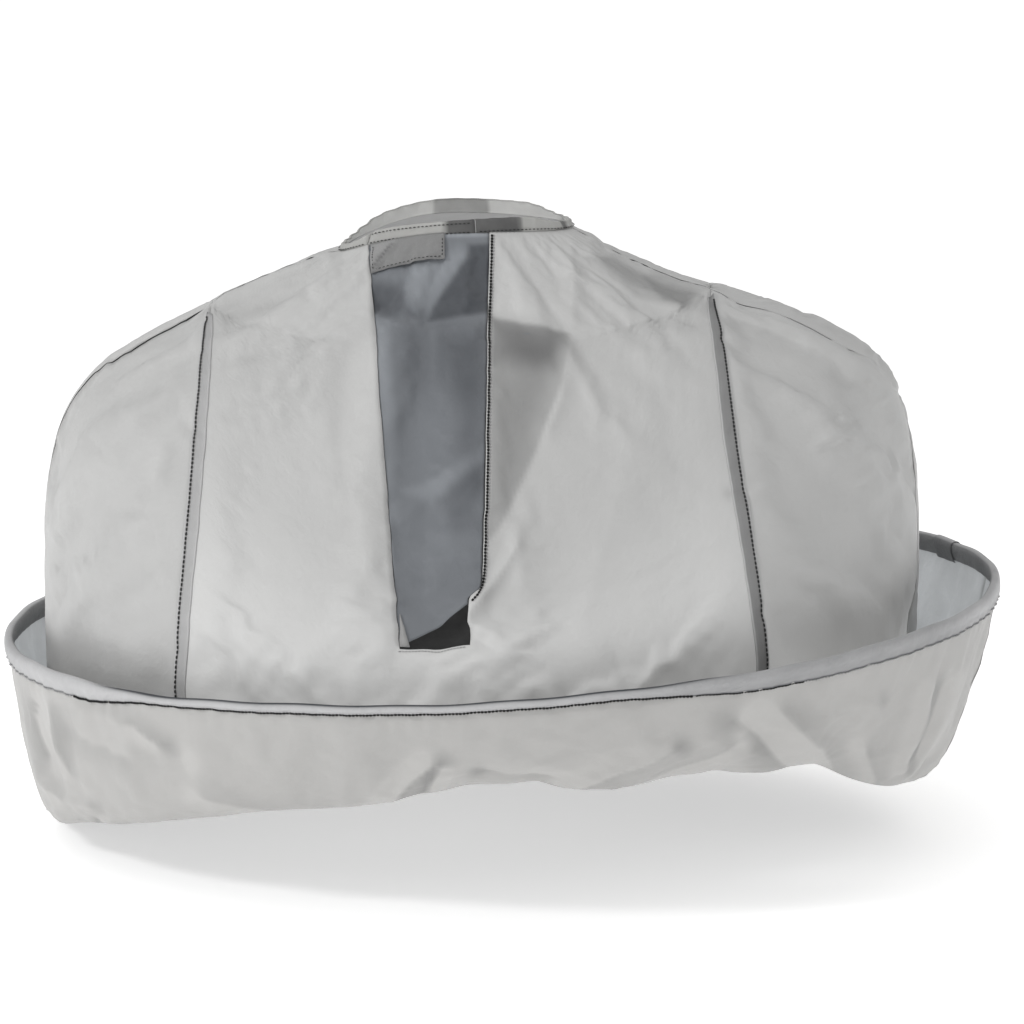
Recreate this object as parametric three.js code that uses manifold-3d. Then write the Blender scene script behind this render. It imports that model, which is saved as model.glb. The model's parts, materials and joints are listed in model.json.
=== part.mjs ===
// A sleeveless umbrella cape of thin nylon. The cape hangs from a neckband as a wide dome. Its hem turns up
// outside into a catch trough, and a sprung wire hoop in a casing holds the trough's rim open.
// Millimetres, +Z up, -Y to the front. Left and right are as seen from the front, so +X is right.
// The origin is the middle of the neck opening.
import * as THREE from "three";
import { mergeVertices } from "three/addons/utils/BufferGeometryUtils.js";
import Module from "manifold-3d";

const wasm = await Module();
wasm.setup();
const { degToRad, lerp } = THREE.MathUtils;
const TURN = 2 * Math.PI;

// Cloth and seams
const CLOTH = 1;
const TAPE = 1.2;
const SEAM_GAP = 0.5; // between pieces that are sewn together
const FACET_GAP = 1.4; // between a seam's corner and the tape that crosses it
const FOLD_DROP = 2.5; // from the dome's edge down to the trough wall that turns in under it
const TAPE_WIDTH = 15;
const SHOULDER_TAPE_WIDTH = 9;

// Neck
const NECK_LEFT = 107;
const NECK_RIGHT = 110;
const NECK_DEPTH = 60; // from the middle to the front and to the back
const NECK_Z = { left: -15, right: 8, front: 12 };
const BAND_HEIGHT = 13;
const BAND_THICK = 1.5;
const BAND_LEAN = 0.97; // the band's top ring as a share of its bottom ring

// Dome
const DOME_LEFT = 391;
const DOME_RIGHT = 440;
const DOME_DEPTH = 412;
const SEAM_SPREAD_LEFT = 26; // how far each front seam runs outwards on its way down
const SEAM_SPREAD_RIGHT = 51;
const SIDE_SEAM_FORWARD = degToRad(7); // the right side seam lies this far in front of the ridge
const FRONT_TIP = 6; // width of a front side panel where it starts on the shoulder
const BACK_TIP = 18;

// Trough and hoop
const HOOP_DEPTH = 358; // hoop's middle, below the origin
const HOOP_OFFSET = 20; // hoop's middle, to the right of the dome's
const TROUGH_MOUTH = 55; // mean gap between the dome and the hoop
const HOOP_ROLL = degToRad(3.45);
const TROUGH_DEPTH = { left: 202, right: 167, front: 102 };
const FOLD_LIFT = 35; // the fold runs higher over the right front
const WIRE_RADIUS = 1.5;
const SLEEVE_RADIUS = 2.8;
const SLEEVE_LENGTH = 30;
const SLEEVE_BORE = 2.1;
const JOIN_ANGLE = degToRad(23);
const CASING_WIDTH = 7.6; // between the casing's two legs
const CASING_TOP = 5;
const CASING_LEG = 12;
const PATCH_LENGTH = 40;

// Placket: a slit down the front from the neck, closed by a flap
const SLIT_LEFT = { top: -81, foot: -49 };
const SLIT_RIGHT = { top: 33, foot: 27.5 };
const SLIT_FOOT_Z = -325;
const FLAP_FOOT_Z = -275; // where the flap's sewn edge ends
const SLIT_JOG = 12.5; // the slit's right edge steps in by this below the flap
const FLAP_CLEARANCE = 1;
const HEM_WIDTH = 7;
const BASE_BAR_HEIGHT = 8;
const FACING_REACH = { top: 76, middle: 64, low: 14 };
const FACING_Z = { top: -64, corner: -76, middle: -122, low: -222, foot: -240 };
const FASTENER_WIDTH = 70;
const FASTENER_HEIGHT = 21;
const FASTENER_DROP = 12; // below the neck's edge

// A rib runs from the neck to the fold. Each shape lists shares of the way out and of the way down. The third
// point of each side rib is where the front and back seams start on the shoulder.
const LEFT_SHAPE = [
  [0, 0], [0.222, 0.033], [0.433, 0.083], [0.715, 0.152], [0.912, 0.262], [0.99, 0.413], [1, 0.615], [0.98, 1],
];
const RIGHT_SHAPE = [
  [0, 0], [0.182, 0.041], [0.4, 0.098], [0.682, 0.144], [0.903, 0.238], [0.982, 0.371], [1, 0.615], [0.988, 1],
];
const FRONT_SHAPE = [
  [0, 0], [0.131, 0.102], [0.259, 0.203], [0.452, 0.356], [0.634, 0.5], [0.797, 0.627], [0.96, 0.756], [1, 1],
];
const SHOULDER = 2 / (LEFT_SHAPE.length - 1);

function rib(shape, neck, neckZ, dome, foldZ) {
  const points = shape.map(([out, down]) => new THREE.Vector2(lerp(neck, dome, out), lerp(neckZ, foldZ, down)));
  return new THREE.SplineCurve(points);
}

const leftRib = rib(LEFT_SHAPE, NECK_LEFT, NECK_Z.left, DOME_LEFT, -HOOP_DEPTH - TROUGH_DEPTH.left);
const rightRib = rib(RIGHT_SHAPE, NECK_RIGHT, NECK_Z.right, DOME_RIGHT, -HOOP_DEPTH - TROUGH_DEPTH.right);
const frontRib = rib(FRONT_SHAPE, NECK_DEPTH, NECK_Z.front, DOME_DEPTH, -HOOP_DEPTH - TROUGH_DEPTH.front);

// The cape's inner surface: angle runs anticlockwise from +X seen from above, v from the neck to the fold.
function dome(angle, v) {
  const left = leftRib.getPoint(v);
  const right = rightRib.getPoint(v);
  const front = frontRib.getPoint(v);
  const across = Math.cos(angle);
  const along = Math.sin(angle);
  const side = across < 0 ? left.y : right.y;
  const lift = across > 0 && along < 0 ? FOLD_LIFT * v ** 4 * Math.sin(2 * angle) ** 2 : 0;
  return new THREE.Vector3(
    lerp(-left.x, right.x, (1 + across) / 2),
    front.x * along,
    side * across ** 2 + front.y * along ** 2 + lift,
  );
}

// The angle, on the front half, at which the surface crosses x
function frontAngle(x, v) {
  const left = leftRib.getPoint(v).x;
  const right = rightRib.getPoint(v).x;
  const share = (2 * x - (right - left)) / (right + left);
  return TURN - Math.acos(THREE.MathUtils.clamp(share, -1, 1));
}

function normalOf(surface, angle, v) {
  const step = 1e-4;
  const across = surface(angle + step, v).sub(surface(angle - step, v));
  const low = Math.min(v + step, 1);
  const high = Math.max(v - step, 0);
  const up = surface(angle, high).sub(surface(angle, low));
  return across.cross(up).normalize();
}

// Rows of every panel: even down to the shoulder, then close together below it where the seams fan out
const YOKE_ROWS = 3;
const SKIRT_ROWS = 11;
const ROW_CROWDING = 1.6;
const rows = [
  ...Array.from({ length: YOKE_ROWS }, (_, i) => (SHOULDER * i) / YOKE_ROWS),
  ...Array.from({ length: SKIRT_ROWS + 1 }, (_, i) => lerp(SHOULDER, 1, (i / SKIRT_ROWS) ** ROW_CROWDING)),
];

// Splits each square of a box's back face along the same diagonal as the front face's, so that sheets one
// over another stay parallel where they twist.
function matchDiagonals(box) {
  const { start, count } = box.groups[5];
  for (let i = start; i < start + count; i += 6) {
    const [a, b, d, , c] = box.index.array.slice(i, i + 6);
    box.index.array.set([a, b, c, a, c, d], i);
  }
}

// Bends a box onto a surface: its width runs from angle a to b, its height along the rows from first to last,
// and its depth from the lower to the upper offset along the normal.
function bend(surface, rowList, edges, columns, lower, upper) {
  const last = rowList.length - 1;
  const box = new THREE.BoxGeometry(1, 1, 1, columns, last, 1);
  matchDiagonals(box);
  const place = box.attributes.position;
  for (let i = 0; i < place.count; i++) {
    const row = Math.round((0.5 - place.getY(i)) * last);
    const [from, to] = edges(row);
    const angle = lerp(from, to, place.getX(i) + 0.5);
    const point = surface(angle, rowList[row]);
    point.addScaledVector(normalOf(surface, angle, rowList[row]), place.getZ(i) > 0 ? upper : lower);
    place.setXYZ(i, point.x, point.y, point.z);
  }
  return box;
}

function solidOf(geometry) {
  const bare = new THREE.BufferGeometry().setIndex(geometry.index);
  bare.setAttribute("position", geometry.attributes.position);
  const merged = mergeVertices(bare, 1e-4);
  return new wasm.Manifold(
    new wasm.Mesh({
      numProp: 3,
      vertProperties: merged.attributes.position.array,
      triVerts: new Uint32Array(merged.index.array),
    }),
  );
}

function geometryOf(solid) {
  const mesh = solid.getMesh();
  const geometry = new THREE.BufferGeometry();
  geometry.setAttribute("position", new THREE.BufferAttribute(mesh.vertProperties, 3));
  geometry.setIndex(new THREE.BufferAttribute(mesh.triVerts, 1));
  geometry.computeVertexNormals();
  return geometry;
}

// An upright prism through the front of the cape, over an outline in x and z
function frontPrism(outline) {
  const shape = new THREE.Shape(outline.map(([x, z]) => new THREE.Vector2(x, z)));
  const prism = new THREE.ExtrudeGeometry(shape, { depth: DOME_DEPTH + TROUGH_MOUTH, bevelEnabled: false });
  return solidOf(prism.rotateX(Math.PI / 2));
}

// Seam angles, one per row. A side panel starts on the shoulder with a narrow tip.
const LEFT_SIDE = Math.PI;
const RIGHT_SIDE = TURN - SIDE_SEAM_FORWARD;
const leftTop = dome(LEFT_SIDE, SHOULDER).x;
const rightTop = dome(RIGHT_SIDE, SHOULDER).x;

function seamRow(row, side, top, spread, front) {
  const inwards = side === LEFT_SIDE ? 1 : -1;
  const turn = front ? inwards : -inwards;
  if (row < YOKE_ROWS) return side;
  if (row === YOKE_ROWS) return side + (turn * (front ? FRONT_TIP : BACK_TIP)) / frontRib.getPoint(SHOULDER).x;
  const x = top + (spread * (rows[row] - SHOULDER)) / (1 - SHOULDER);
  const angle = frontAngle(x, rows[row]);
  return front ? angle : TURN - angle;
}

const rowIndex = rows.map((_, row) => row);
const seams = {
  frontLeft: rowIndex.map((row) => seamRow(row, LEFT_SIDE, leftTop, -SEAM_SPREAD_LEFT, true)),
  frontRight: rowIndex.map((row) => seamRow(row, RIGHT_SIDE, rightTop, SEAM_SPREAD_RIGHT, true)),
  backLeft: rowIndex.map((row) => seamRow(row, LEFT_SIDE, leftTop, -SEAM_SPREAD_LEFT, false)),
  backRight: rowIndex.map((row) => seamRow(row, RIGHT_SIDE - TURN, rightTop, SEAM_SPREAD_RIGHT, false)),
};

const fabric = (colour, roughness = 0.6) =>
  new THREE.MeshStandardMaterial({ color: colour, roughness, metalness: 0, side: THREE.DoubleSide });
const nylon = fabric(0xbfbfbe);
const shadedNylon = fabric(0x72767b, 0.45);
const tapeCloth = fabric(0x9b9b99);
const casingCloth = fabric(0x83878b);
const fastener = fabric(0x8b8d8f, 0.9);
const springSteel = new THREE.MeshStandardMaterial({ color: 0xb4b6b8, roughness: 0.3, metalness: 1 });

function mesh(name, geometry, material) {
  const made = new THREE.Mesh(geometry, material);
  made.name = name;
  return made;
}

// Panels
const half = SEAM_GAP / 2;
const CENTRE_COLUMNS = 14;
const SIDE_COLUMNS = 5;
const skirtRows = rows.slice(YOKE_ROWS);

function between(from, to, firstRow = 0) {
  return (row) => {
    const v = rows[firstRow + row];
    const trim = half / frontRib.getPoint(v).x;
    return [from(firstRow + row) + trim, to(firstRow + row) - trim];
  };
}

const centreEdges = between((row) => seams.frontLeft[row], (row) => seams.frontRight[row]);
const frontShell = (lower, upper) => solidOf(bend(dome, rows, centreEdges, CENTRE_COLUMNS, lower, upper));

function sidePanel(name, from, to) {
  const edges = between(from, to, YOKE_ROWS);
  return mesh(name, bend(dome, skirtRows, edges, SIDE_COLUMNS, 0, CLOTH), nylon);
}

const backEdges = between((row) => seams.backRight[row], (row) => seams.backLeft[row]);
const backPanel = bend(dome, rows, backEdges, CENTRE_COLUMNS, 0, CLOTH);

// Slit, flap and what is sewn round them
const ABOVE_NECK = 4 * BAND_HEIGHT;
const slitEdge = (edge, foot, z) => lerp(edge.top, edge.foot, z / foot);
const slitLeft = (z) => slitEdge(SLIT_LEFT, SLIT_FOOT_Z, z);
const slitRight = (z) => slitEdge(SLIT_RIGHT, FLAP_FOOT_Z, z);
const jogX = SLIT_RIGHT.foot - SLIT_JOG;
const jogZ = FLAP_FOOT_Z - SLIT_JOG;

const slitOutline = [
  [slitLeft(ABOVE_NECK), ABOVE_NECK],
  [SLIT_LEFT.foot, SLIT_FOOT_Z],
  [jogX, SLIT_FOOT_Z],
  [jogX, jogZ],
  [SLIT_RIGHT.foot, FLAP_FOOT_Z],
  [slitRight(ABOVE_NECK), ABOVE_NECK],
];
const flapOutline = [
  [slitLeft(ABOVE_NECK) + FLAP_CLEARANCE, ABOVE_NECK],
  [SLIT_LEFT.foot + FLAP_CLEARANCE, SLIT_FOOT_Z + 2 * FLAP_CLEARANCE],
  [jogX - FLAP_CLEARANCE, jogZ],
  [SLIT_RIGHT.foot - FLAP_CLEARANCE, FLAP_FOOT_Z + FLAP_CLEARANCE],
  [slitRight(ABOVE_NECK) - FLAP_CLEARANCE, ABOVE_NECK],
];
const frontPanel = frontShell(0, CLOTH).subtract(frontPrism(slitOutline));
const flapSheet = frontShell(0, CLOTH).intersect(frontPrism(flapOutline));

// Pieces behind the front panel, parallel to it
const liningShell = frontShell(-SEAM_GAP - CLOTH, -SEAM_GAP);
const lining = (outline) => geometryOf(liningShell.intersect(frontPrism(outline)));
const neckLimit = NECK_Z.left;
const leftHem = lining([
  [slitLeft(neckLimit) - HEM_WIDTH, neckLimit],
  [SLIT_LEFT.foot - HEM_WIDTH, SLIT_FOOT_Z + SEAM_GAP],
  [SLIT_LEFT.foot - FLAP_CLEARANCE, SLIT_FOOT_Z + SEAM_GAP],
  [slitLeft(neckLimit) - FLAP_CLEARANCE, neckLimit],
]);
const rightHem = lining([
  [slitRight(0) + FLAP_CLEARANCE, 0],
  [SLIT_RIGHT.foot + FLAP_CLEARANCE, FLAP_FOOT_Z],
  [SLIT_RIGHT.foot + HEM_WIDTH, FLAP_FOOT_Z],
  [slitRight(0) + HEM_WIDTH, 0],
]);
const baseBar = lining([
  [SLIT_LEFT.foot - HEM_WIDTH, SLIT_FOOT_Z],
  [SLIT_LEFT.foot - HEM_WIDTH, SLIT_FOOT_Z - BASE_BAR_HEIGHT],
  [jogX + HEM_WIDTH, SLIT_FOOT_Z - BASE_BAR_HEIGHT],
  [jogX + HEM_WIDTH, SLIT_FOOT_Z],
]);
const facingEdge = (z) => slitRight(z) + HEM_WIDTH + SEAM_GAP;
const facing = lining([
  [facingEdge(FACING_Z.top), FACING_Z.top],
  [facingEdge(FACING_Z.foot), FACING_Z.foot],
  [facingEdge(FACING_Z.low) + FACING_REACH.low - HEM_WIDTH, FACING_Z.low],
  [slitRight(FACING_Z.middle) + FACING_REACH.middle, FACING_Z.middle],
  [slitRight(FACING_Z.corner) + FACING_REACH.top, FACING_Z.corner],
]);
const hookEdge = slitLeft(-FASTENER_DROP) - HEM_WIDTH - SEAM_GAP;
const hookTop = NECK_Z.left - FASTENER_DROP;
const hookTape = lining([
  [hookEdge, hookTop],
  [hookEdge - FASTENER_WIDTH, hookTop - FASTENER_HEIGHT / 2],
  [hookEdge - FASTENER_WIDTH, hookTop - 1.5 * FASTENER_HEIGHT],
  [hookEdge, hookTop - FASTENER_HEIGHT],
]);
const loopTop = NECK_Z.front - FASTENER_DROP;
const loopEdge = slitLeft(0) + 3 * FLAP_CLEARANCE;
const loopTape = frontShell(CLOTH + SEAM_GAP, CLOTH + SEAM_GAP + TAPE).intersect(
  frontPrism([
    [loopEdge, loopTop - FASTENER_DROP / 2],
    [loopEdge, loopTop - FASTENER_DROP / 2 - FASTENER_HEIGHT],
    [loopEdge + FASTENER_WIDTH, loopTop - FASTENER_HEIGHT],
    [loopEdge + FASTENER_WIDTH, loopTop],
  ]),
);

// Neckband, standing on the dome's top edge
function band(angle, v) {
  const foot = dome(angle, 0);
  const share = 1 - v;
  const lean = lerp(1, BAND_LEAN, share);
  return new THREE.Vector3(foot.x * lean, foot.y * lean, foot.z + SEAM_GAP + CLOTH + BAND_HEIGHT * share);
}
const slitLeftAngle = frontAngle(SLIT_LEFT.top, 0);
const slitRightAngle = frontAngle(SLIT_RIGHT.top, 0);
const bandTrim = FLAP_CLEARANCE / NECK_DEPTH;
// The flap's band ends a band's height short of the sewn edge, to pass the right band when the flap opens
const flapBandEnd = frontAngle(SLIT_RIGHT.top - BAND_HEIGHT, 0);

function bandPiece(from, to, columns) {
  return bend(band, [0, 1], () => [from + bandTrim, to - bandTrim], columns, 0, BAND_THICK);
}

// Seam tapes. An outer tape is flat across the seam, and an inner one bends with the panels it joins.
function seamPoint(angles, k) {
  const low = Math.min(Math.floor(k), rows.length - 2);
  const a = dome(angles[low], rows[low]);
  return a.lerp(dome(angles[low + 1], rows[low + 1]), k - low);
}

const FRONT_TAPE_START = YOKE_ROWS + 0.3; // in rows, where the panel is wide enough for its tape
const BACK_TAPE_START = YOKE_ROWS + 1;

function outerTape(angles, first) {
  const stations = [first, ...rowIndex.filter((row) => row > first && row < rows.length - 1)];
  const box = new THREE.BoxGeometry(1, 1, 1, 1, stations.length - 1, 1);
  const place = box.attributes.position;
  for (let i = 0; i < place.count; i++) {
    const k = stations[Math.round((0.5 - place.getY(i)) * (stations.length - 1))];
    const point = seamPoint(angles, k);
    const next = Math.min(k + 0.5, rows.length - 1);
    const run = seamPoint(angles, next - 1).sub(seamPoint(angles, next));
    const low = Math.min(Math.floor(k), rows.length - 2);
    const angle = lerp(angles[low], angles[low + 1], k - low);
    const out = normalOf(dome, angle, lerp(rows[low], rows[low + 1], k - low));
    const over = run.cross(out).normalize();
    point.addScaledVector(over, place.getX(i) * TAPE_WIDTH);
    point.addScaledVector(out, CLOTH + FACET_GAP + (place.getZ(i) > 0 ? TAPE : 0));
    place.setXYZ(i, point.x, point.y, point.z);
  }
  return box;
}

function shoulderTape(angle) {
  const edges = (row) => {
    const reach = SHOULDER_TAPE_WIDTH / 2 / frontRib.getPoint(rows[row]).x;
    return [angle - reach, angle + reach];
  };
  return bend(dome, rows, edges, 2, -FACET_GAP - TAPE, -FACET_GAP);
}

// Trough: each wall hangs from the hoop's casing and turns in under the dome's edge
const domeReach = Math.max((DOME_LEFT + DOME_RIGHT) / 2, DOME_DEPTH);
const hoopRadius = domeReach + TROUGH_MOUTH - CLOTH;
const hoopCentre = new THREE.Vector3((DOME_RIGHT - DOME_LEFT) / 2 + HOOP_OFFSET, 0, -HOOP_DEPTH);
const rollAxis = new THREE.Vector3(0, 1, 0);

function onHoop(angle, drop) {
  const point = new THREE.Vector3(hoopRadius * Math.cos(angle), hoopRadius * Math.sin(angle), -drop);
  return point.applyAxisAngle(rollAxis, -HOOP_ROLL).add(hoopCentre);
}

const WALL_TOP = SLEEVE_RADIUS + 2 * SEAM_GAP; // the wall's top edge stays this far below the wire's middle
const STRAIGHT_SHARE = 0.12; // the part of the wall that runs straight down inside the casing

function wall(angle, v) {
  const legFoot = CASING_LEG + CLOTH;
  if (v <= STRAIGHT_SHARE) return onHoop(angle, lerp(WALL_TOP, legFoot, v / STRAIGHT_SHARE));
  const from = onHoop(angle, legFoot);
  const to = dome(angle, 1).add(new THREE.Vector3(0, 0, -FOLD_DROP));
  const belly = new THREE.Vector3().lerpVectors(from, to, 0.5).setZ(to.z);
  const curve = new THREE.QuadraticBezierCurve3(from, belly, to);
  return curve.getPoint((v - STRAIGHT_SHARE) / (1 - STRAIGHT_SHARE));
}
const wallRows = [0, STRAIGHT_SHARE, 0.3, 0.5, 0.7, 0.85, 1];
const WALL_COLUMNS = 28;
const wallTrim = half / hoopRadius;

function wallPiece(from, to) {
  return bend(wall, wallRows, () => [from + wallTrim, to - wallTrim], WALL_COLUMNS, 0, CLOTH);
}

function wallTape(angle) {
  const reach = SHOULDER_TAPE_WIDTH / 2 / hoopRadius;
  const lower = CLOTH + FACET_GAP;
  return bend(wall, wallRows.slice(2), () => [angle - reach, angle + reach], 2, lower, lower + TAPE);
}

// The rim's pieces stand in the hoop's own tilted frame
const HOOP_SEGMENTS = 72;
const outer = CASING_WIDTH / 2 + CLOTH;
const inner = CASING_WIDTH / 2;
const channel = [
  [-outer, -CASING_LEG],
  [-inner, -CASING_LEG],
  [-inner, CASING_TOP - CLOTH],
  [inner, CASING_TOP - CLOTH],
  [inner, -CASING_LEG],
  [outer, -CASING_LEG],
  [outer, CASING_TOP],
  [-outer, CASING_TOP],
];

function casing() {
  const profile = channel.map(([x, y]) => new THREE.Vector2(hoopRadius + x, y));
  return new THREE.LatheGeometry([...profile, profile[0]], HOOP_SEGMENTS).rotateX(Math.PI / 2);
}

// A straight length laid along the hoop at an angle, from a section in radius and height
function alongHoop(shape, length, angle) {
  const bar = new THREE.ExtrudeGeometry(shape, { depth: length, bevelEnabled: false, curveSegments: 8 });
  bar.translate(0, 0, -length / 2).rotateX(Math.PI / 2);
  return bar.translate(hoopRadius, 0, 0).rotateZ(angle);
}

function joinPatch() {
  const grow = 2 * SEAM_GAP;
  const [w, t] = [outer + grow, outer + grow + CLOTH];
  const points = [[-t, -CASING_LEG], [-w, -CASING_LEG], [-w, CASING_TOP + grow], [w, CASING_TOP + grow],
    [w, -CASING_LEG], [t, -CASING_LEG], [t, CASING_TOP + grow + CLOTH], [-t, CASING_TOP + grow + CLOTH]];
  return alongHoop(new THREE.Shape(points.map(([x, y]) => new THREE.Vector2(x, y))), PATCH_LENGTH, JOIN_ANGLE);
}

function sleeve() {
  const ring = new THREE.Shape().absarc(0, 0, SLEEVE_RADIUS, 0, TURN);
  ring.holes.push(new THREE.Path().absarc(0, 0, SLEEVE_BORE, 0, TURN, true));
  return alongHoop(ring, SLEEVE_LENGTH, JOIN_ANGLE);
}

const rim = new THREE.Group();
rim.position.copy(hoopCentre);
rim.rotation.y = -HOOP_ROLL;
rim.add(
  mesh("rim_casing", casing(), casingCloth),
  mesh("casing_join_patch", joinPatch(), casingCloth),
  mesh("hoop_wire", new THREE.TorusGeometry(hoopRadius, WIRE_RADIUS, 6, HOOP_SEGMENTS), springSteel),
  mesh("hoop_sleeve", sleeve(), springSteel),
);

// The flap swings about its sewn edge, so its group stands at that edge's foot
const FLAP_FOOT_SHARE = 5 / 7; // of the way from the neck to the fold
const hingeFoot = dome(frontAngle(SLIT_RIGHT.foot, FLAP_FOOT_SHARE), FLAP_FOOT_SHARE);
const flap = new THREE.Group();
flap.position.copy(hingeFoot);
const { x: hx, y: hy, z: hz } = hingeFoot;
const atHinge = (geometry) => geometry.translate(-hx, -hy, -hz);
flap.add(
  mesh("neck_flap", atHinge(geometryOf(flapSheet)), shadedNylon),
  mesh("flap_neckband", atHinge(bandPiece(slitLeftAngle, flapBandEnd, 8)), tapeCloth),
  mesh("flap_loop_tape", atHinge(geometryOf(loopTape)), fastener),
);

const group = new THREE.Group();
group.add(
  mesh("front_centre_panel", geometryOf(frontPanel), nylon),
  sidePanel("front_left_panel", () => LEFT_SIDE, (row) => seams.frontLeft[row]),
  sidePanel("front_right_panel", (row) => seams.frontRight[row], () => RIGHT_SIDE),
  mesh("back_centre_panel", backPanel, nylon),
  sidePanel("back_left_panel", (row) => seams.backLeft[row], () => LEFT_SIDE),
  sidePanel("back_right_panel", () => RIGHT_SIDE - TURN, (row) => seams.backRight[row]),
  mesh("front_left_seam_tape", outerTape(seams.frontLeft, FRONT_TAPE_START), tapeCloth),
  mesh("front_right_seam_tape", outerTape(seams.frontRight, FRONT_TAPE_START), tapeCloth),
  mesh("back_left_seam_tape", outerTape(seams.backLeft, BACK_TAPE_START), tapeCloth),
  mesh("back_right_seam_tape", outerTape(seams.backRight, BACK_TAPE_START), tapeCloth),
  mesh("left_shoulder_tape", shoulderTape(LEFT_SIDE), tapeCloth),
  mesh("right_shoulder_tape", shoulderTape(RIGHT_SIDE), tapeCloth),
  mesh("back_neckband", bandPiece(RIGHT_SIDE - TURN, LEFT_SIDE, 16), tapeCloth),
  mesh("left_neckband", bandPiece(LEFT_SIDE, slitLeftAngle, 4), tapeCloth),
  mesh("right_neckband", bandPiece(slitRightAngle, RIGHT_SIDE, 6), tapeCloth),
  mesh("left_slit_hem", leftHem, nylon),
  mesh("right_slit_hem", rightHem, nylon),
  mesh("slit_base_bar", baseBar, tapeCloth),
  mesh("placket_facing", facing, shadedNylon),
  mesh("neck_hook_tape", hookTape, fastener),
  mesh("trough_front_wall", wallPiece(LEFT_SIDE, RIGHT_SIDE), nylon),
  mesh("trough_back_wall", wallPiece(RIGHT_SIDE - TURN, LEFT_SIDE), nylon),
  mesh("left_trough_tape", wallTape(LEFT_SIDE), tapeCloth),
  mesh("right_trough_tape", wallTape(RIGHT_SIDE), tapeCloth),
  flap,
  rim,
);

export default group;
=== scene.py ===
# %% [markdown]
# # A hooped catch cape in thin nylon
# The real cape is a tent of thin nylon: six panels hang from a neckband, and the hem turns up outside into a
# trough, held open by a sprung wire hoop. Every piece is grown here from two surfaces, the dome and the
# trough wall. Panels, tapes, hems and stitches read the same surface and the same wrinkles, so the seams
# can't open between them.

# %% Load the frame and keep its box
import json
import math

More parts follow.
